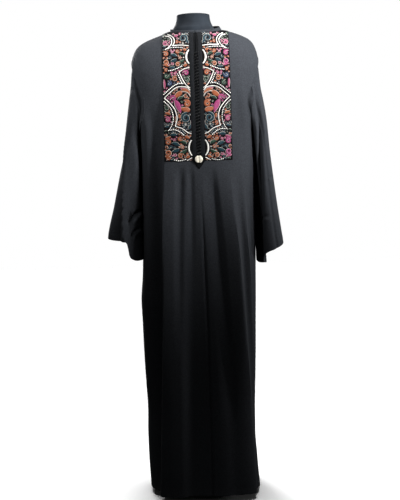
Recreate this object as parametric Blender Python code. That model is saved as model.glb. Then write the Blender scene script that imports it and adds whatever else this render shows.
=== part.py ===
"""A long djellaba with an embroidered front, worn by a limbless dress form on a pole and a round base.

Metres, +Z up. The garment faces -Y, the floor is Z = 0, and left and right are the viewer's own as they
face it. The cloth is made of walls: a grid of points on its outer side, and the same grid moved inwards.
"""

import math
from collections import namedtuple

import bmesh
import bpy
import numpy as np
from mathutils import Matrix, Vector

# Sizes of the cloth and of the gaps between its pieces
CLOTH = 0.0015
SEAM_GAP = 0.0003
FRONT, BACK = -1, 1

# Heights of the garment
HEM_Z = 0.020
UNDERARM_Z = 1.200
SHOULDER_TIP_Z = 1.440
NECK_Z = 1.530

# The front opening, its two flat bands, and the embroidered panels beside them
SLIT_X = 0.005
SLIT_HALF = 0.0012
BAND_INNER, BAND_OUTER = 0.0066, 0.0198
BIB_HALF_WIDTH = 0.106
SLIT_END_Z = 1.128
BIB_BOTTOM_Z = 1.112
POINT_Z = 1.087
BIB_THICKNESS = 0.0012
BAND_THICKNESS = 0.0018
LIFT = 0.0003

# The row of knots that closes the opening, and the two-part clasp below it
KNOT_COUNT = 34
KNOT_TOP_Z, KNOT_BOTTOM_Z = 1.450, 1.137
KNOT_HALF = Vector((0.0056, 0.0022, 0.0027))
KNOT_SLANT = math.radians(22)
KNOT_SIDES, KNOT_RINGS = 8, 4
CLASP_Z = 1.117
CLASP_RADIUS = 0.0122
CLASP_CORNER = 0.0034
CLASP_THICKNESS = 0.0050
CLASP_PARTING = 0.0003
CLASP_CORNER_STEPS, CLASP_ARC_STEPS = 3, 10
# The clasp's rings from its flat back outwards: share of its thickness, and share of its outline
ClaspRing = namedtuple("ClaspRing", "depth spread")
CLASP_RINGS = [ClaspRing(0.0, 1.0), ClaspRing(0.55, 1.0), ClaspRing(0.85, 0.86), ClaspRing(1.0, 0.55)]

# The pointed end of the placket: how far below the bib's bottom each row is, and its half width
PointRow = namedtuple("PointRow", "below half_width")
PLACKET_POINT = [
    PointRow(BIB_BOTTOM_Z - SLIT_END_Z + SEAM_GAP, BAND_OUTER),
    PointRow(-0.002, BAND_OUTER),
    PointRow(0.010, 0.0125),
    PointRow(BIB_BOTTOM_Z - POINT_Z, 0.0008),
]

# How round a sleeve's section is: 2 is an ellipse, and more has flatter sides
SLEEVE_ROUNDNESS = 2.4

# Rings of the body cloth. side_z is the height at the side, where front and back meet, and round is 2 for
# an ellipse and more for flatter sides
Level = namedtuple("Level", "side_z left right front_y front_z back_y back_z round")
LEVELS = [
    Level(NECK_Z, 0.0775, 0.0930, 0.0720, 1.5165, 0.0600, 1.5330, 2.00),
    Level(1.5265, 0.0885, 0.1130, 0.0810, 1.5050, 0.0690, 1.5240, 2.08),
    Level(1.5215, 0.1015, 0.1300, 0.0900, 1.4900, 0.0770, 1.5120, 2.15),
    Level(1.5140, 0.1225, 0.1500, 0.0990, 1.4720, 0.0850, 1.4970, 2.25),
    Level(1.5060, 0.1450, 0.1680, 0.1070, 1.4550, 0.0920, 1.4810, 2.35),
    Level(1.4950, 0.1680, 0.1840, 0.1140, 1.4340, 0.1000, 1.4600, 2.45),
    Level(1.4820, 0.1850, 0.1940, 0.1200, 1.4145, 0.1050, 1.4390, 2.50),
    Level(1.4650, 0.1960, 0.2010, 0.1245, 1.3950, 0.1090, 1.4180, 2.55),
    Level(SHOULDER_TIP_Z, 0.2045, 0.2075, 0.1290, 1.3720, 0.1120, 1.3930, 2.60),
    Level(1.390, 0.2085, 0.2115, 0.135, 1.3350, 0.113, 1.3500, 2.6),
    Level(1.320, 0.2060, 0.2090, 0.140, 1.2900, 0.111, 1.2980, 2.6),
    Level(1.250, 0.1960, 0.2000, 0.143, 1.2400, 0.109, 1.2430, 2.6),
    Level(UNDERARM_Z, 0.1880, 0.1910, 0.144, 1.2000, 0.108, 1.2000, 2.6),
    Level(1.100, 0.1870, 0.1895, 0.143, 1.1000, 0.108, 1.1000, 2.6),
    Level(0.950, 0.1875, 0.1865, 0.141, 0.9500, 0.111, 0.9500, 2.6),
    Level(0.790, 0.1905, 0.1845, 0.140, 0.7900, 0.117, 0.7900, 2.6),
    Level(0.730, 0.1940, 0.1835, 0.140, 0.7300, 0.119, 0.7300, 2.6),
    Level(0.650, 0.2005, 0.1820, 0.142, 0.6500, 0.123, 0.6500, 2.6),
    Level(0.580, 0.1990, 0.1800, 0.143, 0.5800, 0.126, 0.5800, 2.6),
    Level(0.490, 0.1980, 0.1780, 0.145, 0.4900, 0.130, 0.4900, 2.6),
    Level(0.390, 0.1950, 0.1745, 0.147, 0.3900, 0.134, 0.3900, 2.6),
    Level(0.290, 0.1915, 0.1695, 0.150, 0.2900, 0.138, 0.2900, 2.6),
    Level(0.200, 0.1940, 0.1690, 0.153, 0.2000, 0.142, 0.2000, 2.6),
    Level(0.120, 0.1935, 0.1735, 0.156, 0.1200, 0.145, 0.1200, 2.6),
    Level(HEM_Z, 0.1895, 0.1805, 0.160, 0.0200, 0.150, 0.0200, 2.6),
]

# Long folds: from start_z to end_z the crest or valley passes x_start, x_middle and x_end. It grows over
# that share of its length and fades over the last share. left and right are its half widths, and depth is
# outward. crisp is 0 for a round fold and 1 for a sharp edge
Fold = namedtuple("Fold", "start_z end_z x_start x_middle x_end grow fade left right depth crisp")
FRONT_FOLDS = [
    Fold(1.200, 0.00, -0.107, -0.1195, -0.142, 0.30, 0.0, 0.024, 0.090, 0.0230, 0.70),
    Fold(1.280, 0.00, -0.138, -0.150, -0.168, 0.50, 0.0, 0.026, 0.026, -0.0150, 0.15),
    Fold(1.080, 0.00, 0.008, 0.0190, 0.020, 0.70, 0.0, 0.085, 0.060, -0.0200, 0.15),
    Fold(1.076, 0.00, 0.0075, 0.0185, 0.020, 0.35, 0.0, 0.010, 0.008, -0.0060, 0.80),
    Fold(1.110, 0.00, 0.047, 0.0955, 0.102, 0.60, 0.0, 0.055, 0.028, 0.0210, 0.60),
    Fold(1.125, 0.00, 0.113, 0.1480, 0.172, 0.35, 0.0, 0.020, 0.015, 0.0090, 0.80),
    Fold(1.105, 0.50, 0.040, 0.0600, 0.078, 0.25, 0.5, 0.022, 0.020, -0.0070, 0.30),
    Fold(1.108, 0.62, -0.060, -0.0620, -0.064, 0.15, 0.6, 0.017, 0.017, -0.0050, 0.35),
    Fold(1.108, 0.70, -0.022, -0.0240, -0.028, 0.15, 0.6, 0.013, 0.015, -0.0045, 0.35),
    Fold(1.440, 1.12, -0.150, -0.1470, -0.150, 0.40, 0.4, 0.020, 0.022, 0.0040, 0.20),
    Fold(1.440, 1.14, 0.148, 0.1500, 0.156, 0.40, 0.4, 0.022, 0.018, 0.0040, 0.20),
]
BACK_FOLDS = [
    Fold(1.300, 0.00, -0.120, -0.1300, -0.138, 0.60, 0.0, 0.030, 0.034, 0.0150, 0.35),
    Fold(1.340, 0.00, -0.080, -0.0850, -0.088, 0.60, 0.0, 0.030, 0.026, -0.0130, 0.15),
    Fold(1.260, 0.00, -0.034, -0.0400, -0.045, 0.55, 0.0, 0.026, 0.034, 0.0140, 0.40),
    Fold(1.380, 0.00, 0.006, 0.0080, 0.010, 0.60, 0.0, 0.032, 0.028, -0.0150, 0.15),
    Fold(1.240, 0.00, 0.050, 0.0560, 0.060, 0.60, 0.0, 0.030, 0.028, 0.0150, 0.35),
    Fold(1.320, 0.00, 0.092, 0.0980, 0.102, 0.60, 0.0, 0.026, 0.028, -0.0120, 0.15),
    Fold(1.280, 0.00, 0.130, 0.1380, 0.144, 0.60, 0.0, 0.024, 0.020, 0.0110, 0.35),
]

# Columns of the panels' grids: x at the top edge, beside the slit down to the bib's bottom, at mid height
# and at the hem, so that they run along the folds
Column = namedtuple("Column", "x_top beside_slit x_middle x_hem")
MIDDLE_Z = 0.600
FRONT_COLUMNS = [
    Column(-0.1010, -0.1060, -0.1195, -0.142),
    Column(-0.0900, -0.0945, -0.1050, -0.122),
    Column(-0.0775, -0.0830, -0.0880, -0.098),
    Column(-0.0729, -0.0670, -0.0720, -0.080),
    Column(-0.0597, -0.0510, -0.0560, -0.062),
    Column(-0.0396, -0.0350, -0.0380, -0.040),
    Column(SLIT_X - BAND_OUTER, -BAND_OUTER, -0.0190, -0.018),
    Column(SLIT_X - BAND_INNER, -BAND_INNER, 0.0040, 0.004),
    Column(SLIT_X - SLIT_HALF, -SLIT_HALF, 0.0160, 0.017),
    Column(SLIT_X + SLIT_HALF, SLIT_HALF, 0.0205, 0.023),
    Column(SLIT_X + BAND_INNER, BAND_INNER, 0.0310, 0.034),
    Column(SLIT_X + BAND_OUTER, BAND_OUTER, 0.0450, 0.050),
    Column(0.0521, 0.0380, 0.0600, 0.067),
    Column(0.0740, 0.0560, 0.0780, 0.085),
    Column(0.0881, 0.0720, 0.0955, 0.102),
    Column(0.0930, 0.0840, 0.1130, 0.125),
    Column(0.1030, 0.0950, 0.1300, 0.147),
    Column(0.1110, 0.1060, 0.1480, 0.172),
]
BACK_COLUMNS = [
    Column(-0.0775, -0.083, -0.1060, -0.114),
    Column(-0.0728, -0.062, -0.0850, -0.088),
    Column(-0.0594, -0.043, -0.0620, -0.066),
    Column(-0.0388, -0.025, -0.0400, -0.045),
    Column(-0.0135, -0.009, -0.0160, -0.018),
    Column(0.0161, 0.008, 0.0080, 0.010),
    Column(0.0465, 0.026, 0.0320, 0.035),
    Column(0.0712, 0.045, 0.0560, 0.060),
    Column(0.0874, 0.062, 0.0780, 0.081),
    Column(0.0930, 0.079, 0.0980, 0.102),
]
# Folds fade towards the sides by this power of the share of the half width
FOLD_SIDE_POWER = 10
# How far beside a point the points lie that give its normal: a share of the half width, and a height
NORMAL_STEP_SHARE, NORMAL_STEP_Z = 0.012, 0.003
RIDGE_SAMPLES, COLUMN_SAMPLES = 200, 240
SLIT_COLUMN = 8
LEFT_NECK_COLUMN, RIGHT_NECK_COLUMN = 2, 15
# Beside the armhole the columns are evenly spaced, and they crowd towards the side seam below. They start
# to crowd at 1.2 / 2.2 of the way down the armhole
SIDE_COLUMNS = 6
CROWDING_START = 1.2
YOKE_ROWS = 11
FRONT_LOWER_ROWS = 17
BACK_LOWER_ROWS = 19

# How far the armhole's edge stands inside a straight line from shoulder tip to underarm
Inset = namedtuple("Inset", "share front back")
ARMHOLE = [
    Inset(0.00, 0.000, 0.000),
    Inset(0.20, 0.019, 0.012),
    Inset(0.45, 0.035, 0.022),
    Inset(0.70, 0.027, 0.016),
    Inset(0.90, 0.009, 0.005),
    Inset(1.00, 0.000, 0.000),
]

# Sleeve sections: the side that faces the body, the outer side, and the reach forwards and backwards
SleeveLevel = namedtuple("SleeveLevel", "z inner outer front back")
LEFT_SLEEVE = [
    SleeveLevel(1.443, 0.1900, 0.2050, 0.076, 0.070),
    SleeveLevel(1.366, 0.1920, 0.2122, 0.082, 0.076),
    SleeveLevel(1.314, 0.1880, 0.2185, 0.086, 0.080),
    SleeveLevel(1.262, 0.1820, 0.2245, 0.088, 0.083),
    SleeveLevel(1.203, 0.1760, 0.2310, 0.090, 0.084),
    SleeveLevel(1.158, 0.1740, 0.2390, 0.090, 0.085),
    SleeveLevel(1.065, 0.1800, 0.2585, 0.088, 0.085),
    SleeveLevel(0.973, 0.1840, 0.2787, 0.086, 0.084),
    SleeveLevel(0.879, 0.1860, 0.3018, 0.084, 0.082),
    SleeveLevel(0.780, 0.1890, 0.3120, 0.080, 0.080),
]
RIGHT_SLEEVE = [
    SleeveLevel(1.430, 0.1930, 0.2095, 0.076, 0.070),
    SleeveLevel(1.352, 0.1900, 0.2145, 0.082, 0.076),
    SleeveLevel(1.300, 0.1800, 0.2230, 0.087, 0.080),
    SleeveLevel(1.248, 0.1750, 0.2293, 0.089, 0.083),
    SleeveLevel(1.189, 0.1750, 0.2345, 0.090, 0.084),
    SleeveLevel(1.144, 0.1780, 0.2382, 0.090, 0.085),
    SleeveLevel(1.051, 0.1830, 0.2485, 0.088, 0.085),
    SleeveLevel(0.959, 0.1845, 0.2600, 0.086, 0.084),
    SleeveLevel(0.838, 0.1860, 0.2770, 0.080, 0.080),
    SleeveLevel(0.760, 0.1890, 0.2850, 0.078, 0.078),
]

# The cuff's height round the sleeve: 0 degrees is its outer side and 90 its front
CuffPoint = namedtuple("CuffPoint", "angle z")
LEFT_CUFF = [
    CuffPoint(0, 0.866), CuffPoint(60, 0.858), CuffPoint(88, 0.853), CuffPoint(101, 0.828),
    CuffPoint(117, 0.806), CuffPoint(150, 0.791), CuffPoint(200, 0.801), CuffPoint(270, 0.838),
    CuffPoint(360, 0.866),
]
RIGHT_CUFF = [
    CuffPoint(0, 0.837), CuffPoint(60, 0.824), CuffPoint(90, 0.814), CuffPoint(118, 0.798),
    CuffPoint(140, 0.771), CuffPoint(170, 0.769), CuffPoint(200, 0.780), CuffPoint(270, 0.806),
    CuffPoint(315, 0.826), CuffPoint(360, 0.837),
]

# Long folds of the sleeves. Their line turns from angle_top to angle_low, in degrees, between start_z and
# end_z, where they have grown to their depth. before and after are their half widths in degrees
SleeveFold = namedtuple("SleeveFold", "angle_top angle_low start_z end_z before after depth crisp")
LEFT_SLEEVE_FOLDS = [
    SleeveFold(128, 104, 1.30, 1.00, 18, 55, 0.0110, 0.20),
    SleeveFold(104, 74, 1.30, 1.02, 46, 22, -0.0170, 0.30),
    SleeveFold(285, 285, 1.15, 0.90, 36, 36, -0.0110, 0.30),
]
RIGHT_SLEEVE_FOLDS = [
    SleeveFold(100, 92, 1.24, 1.00, 40, 30, 0.0040, 0.20),
    SleeveFold(140, 134, 1.22, 0.95, 28, 28, -0.0090, 0.30),
    SleeveFold(250, 250, 1.15, 0.90, 36, 36, -0.0110, 0.30),
]
SLEEVE_ROWS = 17
SLEEVE_FLARE_POWER = 1.35
SLEEVE_GAP = 0.0024
SLEEVE_CLEAR_Z = 1.240
# The sleeve's seam: how far its edge stands beyond the armhole's and out of it, more so at the underarm,
# which is the part of the armhole from this share of the way down
SLEEVE_SEAM_BEYOND, SLEEVE_SEAM_OUT, UNDERARM_OUT, UNDERARM_SHARE = 0.0006, 0.0002, 0.0010, 0.55
# The share of its length over which the sleeve turns from the armhole's edge into its own section
BLEND_AT_TOP, BLEND_AT_UNDERARM = 0.34, 0.08

# The neckband's height above the neckline, by the angle round it: 0 is the right side, 90 the front
BandPoint = namedtuple("BandPoint", "angle height lean")
NECKBAND = [
    BandPoint(0, 0.0110, -0.0040), BandPoint(40, 0.0090, -0.0020), BandPoint(90, 0.0078, -0.0015),
    BandPoint(140, 0.0075, -0.0015), BandPoint(180, 0.0080, -0.0015), BandPoint(270, 0.0160, -0.0040),
    BandPoint(335, 0.0140, -0.0040), BandPoint(360, 0.0110, -0.0040),
]
NECKBAND_THICKNESS = 0.0020
NECKBAND_SEAT = 0.0003
NECKBAND_INSET = 0.0008
NECKBAND_ROWS = 2

# The dress form. Its yoke follows the cloth's own rings, a little inside them
FORM_SIDE_GAP = 0.0016
FORM_DEPTH_GAP = 0.0062
FORM_DROP = 0.0036
FORM_YOKE_LEVELS = (1.530, 1.5265, 1.5215, 1.514, 1.506, 1.495)
FORM_COLUMNS = 32
FormLevel = namedtuple("FormLevel", "z side front back")
FORM_NECK = [
    FormLevel(1.5790, 0.0530, 0.0490, 0.0470),
    FormLevel(1.5660, 0.0545, 0.0505, 0.0485),
    FormLevel(1.5540, 0.0580, 0.0535, 0.0505),
    FormLevel(1.5440, 0.0630, 0.0580, 0.0530),
    FormLevel(1.5350, 0.0690, 0.0625, 0.0550),
]
FORM_TRUNK = [
    FormLevel(1.440, 0.1800, 0.119, 0.104),
    FormLevel(1.400, 0.1790, 0.124, 0.105),
    FormLevel(1.350, 0.1710, 0.129, 0.104),
    FormLevel(1.290, 0.1600, 0.133, 0.100),
    FormLevel(1.240, 0.1500, 0.128, 0.094),
    FormLevel(1.180, 0.1400, 0.115, 0.087),
    FormLevel(1.110, 0.1280, 0.101, 0.079),
    FormLevel(1.050, 0.1220, 0.095, 0.077),
    FormLevel(0.990, 0.1300, 0.097, 0.085),
    FormLevel(0.930, 0.1450, 0.103, 0.092),
    FormLevel(0.870, 0.1560, 0.108, 0.096),
    FormLevel(0.820, 0.1570, 0.109, 0.096),
    FormLevel(0.785, 0.1540, 0.107, 0.094),
]
FORM_ROUNDNESS = 2.2
# Above this height the trunk's rings dip at the front and the back, by this much at the shoulder
FORM_DIP_Z, FORM_FRONT_DIP, FORM_BACK_DIP = 1.30, 0.055, 0.040
FORM_BOTTOM_Z = 0.780
FORM_BOTTOM_SHARE = 0.93

# The neck's cap, and the stand below the form
CAP_RIM, CAP_DOME = 0.0008, 0.0048
CAP_RINGS = 3
CAP_TOP_SHARE = 0.08
POLE_RADIUS, POLE_SIDES = 0.0125, 20
HUB_RADIUS, HUB_RIM, HUB_SIDES = 0.030, 0.005, 24
HUB_TOP_RADIUS, HUB_NECK, HUB_HEIGHT = 0.018, 0.018, 0.040
BASE_RADIUS, BASE_THICKNESS, BASE_BEVEL, BASE_SIDES = 0.120, 0.012, 0.002, 40

# Colours as linear red, green and blue, with roughness and metallic values
Finish = namedtuple("Finish", "colour roughness metallic")
FINISHES = {
    "crepe": Finish((0.014, 0.015, 0.017), 0.82, 0.0),
    "embroidery": Finish((0.24, 0.10, 0.07), 0.70, 0.0),
    "braid": Finish((0.016, 0.017, 0.019), 0.60, 0.0),
    "pearl": Finish((0.78, 0.74, 0.66), 0.25, 0.0),
    "form_jersey": Finish((0.020, 0.023, 0.028), 0.75, 0.0),
    "stand_metal": Finish((0.030, 0.030, 0.032), 0.40, 0.8),
}


def clear_scene():
    """Removes the objects that Blender starts with."""
    for thing in list(bpy.data.objects):
        bpy.data.objects.remove(thing)


def material(name):
    """The named finish as a Principled material."""
    found = bpy.data.materials.get(name)
    if found:
        return found
    finish = FINISHES[name]
    made = bpy.data.materials.new(name)
    made.use_nodes = True
    shader = made.node_tree.nodes["Principled BSDF"]
    shader.inputs["Base Color"].default_value = (*finish.colour, 1.0)
    shader.inputs["Roughness"].default_value = finish.roughness
    shader.inputs["Metallic"].default_value = finish.metallic
    return made


def add_object(name, mesh, finish):
    """Links a mesh as one named sub-part, shaded smooth up to 40 degrees."""
    if not mesh.materials:
        mesh.materials.append(material(finish))
    thing = bpy.data.objects.new(name, mesh)
    bpy.context.scene.collection.objects.link(thing)
    mesh.shade_smooth()
    mesh.set_sharp_from_angle(angle=math.radians(40))
    return thing


def unit(vectors):
    """Vectors scaled to length 1, along the last axis."""
    return vectors / np.maximum(np.linalg.norm(vectors, axis=-1, keepdims=True), 1e-12)


def smooth_step(share):
    """0 below 0, 1 above 1, and a soft rise between."""
    share = np.clip(share, 0.0, 1.0)
    return share * share * (3 - 2 * share)


def smooth_curve(knots, values, at):
    """A smooth curve through the values at rising knots, which never overshoots between them."""
    knots, values, at = (np.asarray(v, float) for v in (knots, values, at))
    step = np.diff(knots)
    slope = np.diff(values) / step
    tangent = np.zeros_like(values)
    same_way = slope[:-1] * slope[1:] > 0
    both = np.where(same_way, slope[:-1] + slope[1:], 1.0)
    tangent[1:-1] = np.where(same_way, 2 * slope[:-1] * slope[1:] / both, 0.0)
    tangent[0], tangent[-1] = slope[0], slope[-1]
    k = np.clip(np.searchsorted(knots, at, side="right") - 1, 0, len(knots) - 2)
    t = np.clip((at - knots[k]) / step[k], 0.0, 1.0)
    return (
        (2 * t**3 - 3 * t**2 + 1) * values[k]
        + (t**3 - 2 * t**2 + t) * step[k] * tangent[k]
        + (3 * t**2 - 2 * t**3) * values[k + 1]
        + (t**3 - t**2) * step[k] * tangent[k + 1]
    )


def column_of(table, name):
    """One named column of a table."""
    return np.array([getattr(row, name) for row in table])


def at_level(name, level):
    """A size of the body cloth's ring whose side stands at that height."""
    rows = LEVELS[::-1]
    return smooth_curve(column_of(rows, "side_z"), column_of(rows, name), level)


def fold_shape(distance, left, right, crisp):
    """A fold's cross section, 1 on its line and 0 at its half widths."""
    half = np.where(distance < 0, left, right)
    share = np.clip(np.abs(distance) / half, 0.0, 1.0)
    soft = np.cos(share * math.pi / 2) ** 2
    sharp = 1 - np.sin(share * math.pi / 2)
    return (1 - crisp) * soft + crisp * sharp


def fold_depth(x, level, face):
    """How far the folds move the cloth outwards there."""
    moved = np.zeros(np.broadcast(x, level).shape)
    for fold in FRONT_FOLDS if face == FRONT else BACK_FOLDS:
        along = np.clip((fold.start_z - level) / (fold.start_z - fold.end_z), 0.0, 1.0)
        bend = 2 * fold.x_start - 4 * fold.x_middle + 2 * fold.x_end
        lean = -3 * fold.x_start + 4 * fold.x_middle - fold.x_end
        line = fold.x_start + lean * along + bend * along**2
        height = fold.depth * smooth_step(along / fold.grow)
        if fold.fade:
            height = height * smooth_step((1 - along) / fold.fade)
        moved = moved + height * fold_shape(x - line, fold.left, fold.right, fold.crisp)
    return moved


def side_of(x, level):
    """The half width of the ring on the side where x is."""
    return np.where(x < 0, at_level("left", level), at_level("right", level))


def body_surface(x, level, face):
    """Points of the cloth's outer side at those x, on the rings whose sides stand at those levels."""
    x, level = np.broadcast_arrays(np.asarray(x, float), np.asarray(level, float))
    side, power = side_of(x, level), at_level("round", level)
    depth = at_level("front_y" if face == FRONT else "back_y", level)
    middle = at_level("front_z" if face == FRONT else "back_z", level)
    share = np.clip(np.abs(x) / side, 0.0, 1.0)
    reach = (1 - share**power) ** (1 / power)
    out = unit(np.stack([np.sign(x) * share ** (power - 1) / side, face * reach ** (power - 1) / depth], -1))
    moved = fold_depth(x, level, face) * (1 - share**FOLD_SIDE_POWER)
    return np.stack(
        [
            x + out[..., 0] * moved,
            face * (SEAM_GAP / 2 + depth * reach) + out[..., 1] * moved,
            level + (middle - level) * reach,
        ],
        axis=-1,
    )


def body_normals(x, level, face):
    """Unit normals of the cloth's outer side, from points a little to the sides and up and down."""
    share = x / side_of(x, level)
    across = []
    upward = []
    for step in (-1, 1):
        beside = np.clip(share + NORMAL_STEP_SHARE * step, -1, 1)
        across.append(body_surface(beside * side_of(beside, level), level, face))
        higher = np.clip(level + NORMAL_STEP_Z * step, HEM_Z, NECK_Z)
        upward.append(body_surface(share * side_of(share, higher), higher, face))
    return unit(-face * np.cross(across[1] - across[0], upward[1] - upward[0]))


def ridge_level(x):
    """The level whose ring is as wide as x, on the shoulder. Nearer the middle it is the neckline's."""
    levels = np.linspace(NECK_Z, SHOULDER_TIP_Z, RIDGE_SAMPLES)
    return float(np.interp(abs(x), side_of(x, levels), levels))


def yoke_column(x_top, x_low, bow, face):
    """x and level of a column from the shoulder or the neckline down to the underarm, evenly spaced."""
    share = np.linspace(0, 1, COLUMN_SAMPLES) ** 3
    inset = column_of(ARMHOLE, "front" if face == FRONT else "back")
    x = x_top + (x_low - x_top) * share
    x = x - np.sign(x_top) * bow * smooth_curve(column_of(ARMHOLE, "share"), inset, share)
    level = ridge_level(x_top)
    level = level + (UNDERARM_Z - level) * share
    points = body_surface(x, level, face)
    length = np.concatenate([[0], np.cumsum(np.linalg.norm(np.diff(points, axis=0), axis=1))])
    wanted = np.linspace(0, length[-1], YOKE_ROWS + 1)
    return np.interp(wanted, length, x), np.interp(wanted, length, level)


def side_columns(first, end, levels, face):
    """x and level of the columns between the outermost listed column and the armhole and side seam."""
    tip, low = end * side_of(end, SHOULDER_TIP_Z), end * side_of(end, UNDERARM_Z)
    armhole_x, armhole_level = yoke_column(tip, low, 1.0, face)
    beside_x, beside_level = yoke_column(first.x_top, SLIT_X + first.beside_slit, 0.0, face)
    beside_drop = (beside_level[0] - beside_level) / (beside_level[0] - UNDERARM_Z)
    armhole_drop = (armhole_level[0] - armhole_level) / (armhole_level[0] - UNDERARM_Z)
    edge = end * side_of(end, levels)
    inner = column_line(first, levels)
    crowding = smooth_step(np.linspace(-CROWDING_START, 1, YOKE_ROWS + 1))
    lines = []
    for k in range(1, SIDE_COLUMNS + 1):
        even = k / SIDE_COLUMNS
        crowded = math.sin(math.pi / 2 * even)
        share = even + (crowded - even) * crowding
        x = beside_x + (armhole_x - beside_x) * share
        drop = beside_drop + (armhole_drop - beside_drop) * share
        top = ridge_level(x[0])
        level = top + (UNDERARM_Z - top) * drop
        lower = inner + (edge - inner) * crowded
        lines.append((np.concatenate([x, lower[1:]]), np.concatenate([level, levels[1:]])))
    return lines


def column_line(column, level):
    """x of a column of the grid at that level, at or below the underarm."""
    knots = (HEM_Z, MIDDLE_Z, BIB_BOTTOM_Z)
    return smooth_curve(knots, (column.x_hem, column.x_middle, SLIT_X + column.beside_slit), level)


def panel_grid(columns, levels, face):
    """The panel's outer points and normals: rows from the top edge down, columns from left to right."""
    middle = []
    for column in columns:
        x, level = yoke_column(column.x_top, SLIT_X + column.beside_slit, 0.0, face)
        lower = column_line(column, levels)
        middle.append((np.concatenate([x, lower[1:]]), np.concatenate([level, levels[1:]])))
    left = side_columns(columns[0], -1, levels, face)
    right = side_columns(columns[-1], 1, levels, face)
    x, level = np.stack(left[::-1] + middle + right, axis=2)
    return body_surface(x, level, face), body_normals(x, level, face)


def grid_normals(grid, closed):
    """Unit normals of a grid of points, from the lines through each point."""
    if closed:
        across = np.roll(grid, -1, axis=1) - np.roll(grid, 1, axis=1)
    else:
        across = np.gradient(grid, axis=1)
    down = np.gradient(grid, axis=0)
    return unit(np.cross(down, across))


def wall(name, outer, inner, finish, closed=False, skipped=()):
    """A closed wall between two grids of points. skipped holds the cells that are left open."""
    rows, columns = outer.shape[:2]
    count = rows * columns
    cells = columns if closed else columns - 1
    flat = outer.reshape(-1, 3)
    triangles = []
    for r in range(rows - 1):
        for c in range(cells):
            if (r, c) in skipped:
                continue
            a, b = r * columns + c, r * columns + (c + 1) % columns
            d, e = a + columns, b + columns
            if np.linalg.norm(flat[a] - flat[e]) < np.linalg.norm(flat[b] - flat[d]):
                triangles += [(a, d, e), (a, e, b)]
            else:
                triangles += [(a, d, b), (b, d, e)]
    sides = {}
    for triangle in triangles:
        for k in range(3):
            sides[(triangle[k], triangle[(k + 1) % 3])] = True
    faces = list(triangles) + [(c + count, b + count, a + count) for a, b, c in triangles]
    for a, b in sides:
        if (b, a) not in sides:
            faces += [(b, a, a + count), (b, a + count, b + count)]
    mesh = bpy.data.meshes.new(name)
    points = np.concatenate([flat, inner.reshape(-1, 3)])
    mesh.from_pydata(points.tolist(), [], faces)
    shape = bmesh.new()
    shape.from_mesh(mesh)
    bmesh.ops.delete(shape, geom=[v for v in shape.verts if not v.link_faces], context="VERTS")
    bmesh.ops.recalc_face_normals(shape, faces=shape.faces)
    shape.to_mesh(mesh)
    shape.free()
    return add_object(name, mesh, finish)


def panel(name, grid, normals, face, skipped=()):
    """A front or back panel of cloth. Its inner side stays on its own side of the seam."""
    inner = grid - normals * CLOTH
    inner[..., 1] = face * np.maximum(face * inner[..., 1], SEAM_GAP / 2)
    return wall(name, grid, inner, "crepe", skipped=skipped)


def overlay(name, grid, normals, thickness, finish, trim_left, trim_right):
    """A piece that lies on a panel: the panel's own points, moved out and trimmed at its sides."""
    under = grid + normals * LIFT
    over = grid + normals * (LIFT + thickness)
    for layer in (under, over):
        layer[:, 0] += unit(layer[:, 1] - layer[:, 0]) * trim_left
        layer[:, -1] += unit(layer[:, -2] - layer[:, -1]) * trim_right
    return wall(name, over, under, finish)


def sleeve_size(table, name, z):
    """A size of the sleeve's section at those heights."""
    rows = table[::-1]
    return smooth_curve(column_of(rows, "z"), column_of(rows, name), z)


def sleeve_section(table, folds, angle, z, end):
    """Points of the sleeve's outer side at those angles and heights. end is -1 for the left sleeve."""
    inner, outer = sleeve_size(table, "inner", z), sleeve_size(table, "outer", z)
    reach = np.where(np.sin(angle) > 0, sleeve_size(table, "front", z), sleeve_size(table, "back", z))
    power = 2 / SLEEVE_ROUNDNESS
    cosine = np.sign(np.cos(angle)) * np.abs(np.cos(angle)) ** power
    sine = np.sign(np.sin(angle)) * np.abs(np.sin(angle)) ** power
    x = (inner + outer) / 2 + (outer - inner) / 2 * cosine
    y = -reach * sine
    for fold in folds:
        along = np.clip((fold.start_z - z) / (fold.start_z - fold.end_z), 0, 1)
        line = fold.angle_top + (fold.angle_low - fold.angle_top) * smooth_step(along)
        away = (np.degrees(angle) - line + 180) % 360 - 180
        height = fold.depth * smooth_step(along)
        moved = height * fold_shape(away, fold.before, fold.after, fold.crisp)
        x = x + moved * np.cos(angle)
        y = y - moved * np.sin(angle)
    return np.stack([end * x, y, z], axis=-1)


def armhole(front, back, end):
    """The armhole's edge from the shoulder tip down the front and up the back, its normals, and beyond it."""
    column = 0 if end < 0 else -1
    edge, out = (
        np.concatenate([ahead[: YOKE_ROWS + 1, column], behind[YOKE_ROWS - 1 : 0 : -1, column]])
        for ahead, behind in zip(front, back)
    )
    along = np.roll(edge, -1, axis=0) - np.roll(edge, 1, axis=0)
    return edge, out, unit(np.cross(along, out)) * -end


def clear_of_body(points, end):
    """The sleeve's points, moved out to the side where the body cloth is too near."""
    x, y, z = np.moveaxis(points, -1, 0)
    level = np.clip(z, HEM_Z, SLEEVE_CLEAR_Z)
    depth = np.where(y < 0, at_level("front_y", level), at_level("back_y", level))
    power = at_level("round", level)
    body = side_of(end, level) * (1 - np.clip(np.abs(y) / depth, 0, 1) ** power) ** (1 / power)
    points[..., 0] = np.where(z < SLEEVE_CLEAR_Z, end * np.maximum(end * x, body + SLEEVE_GAP), x)
    return points


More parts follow.
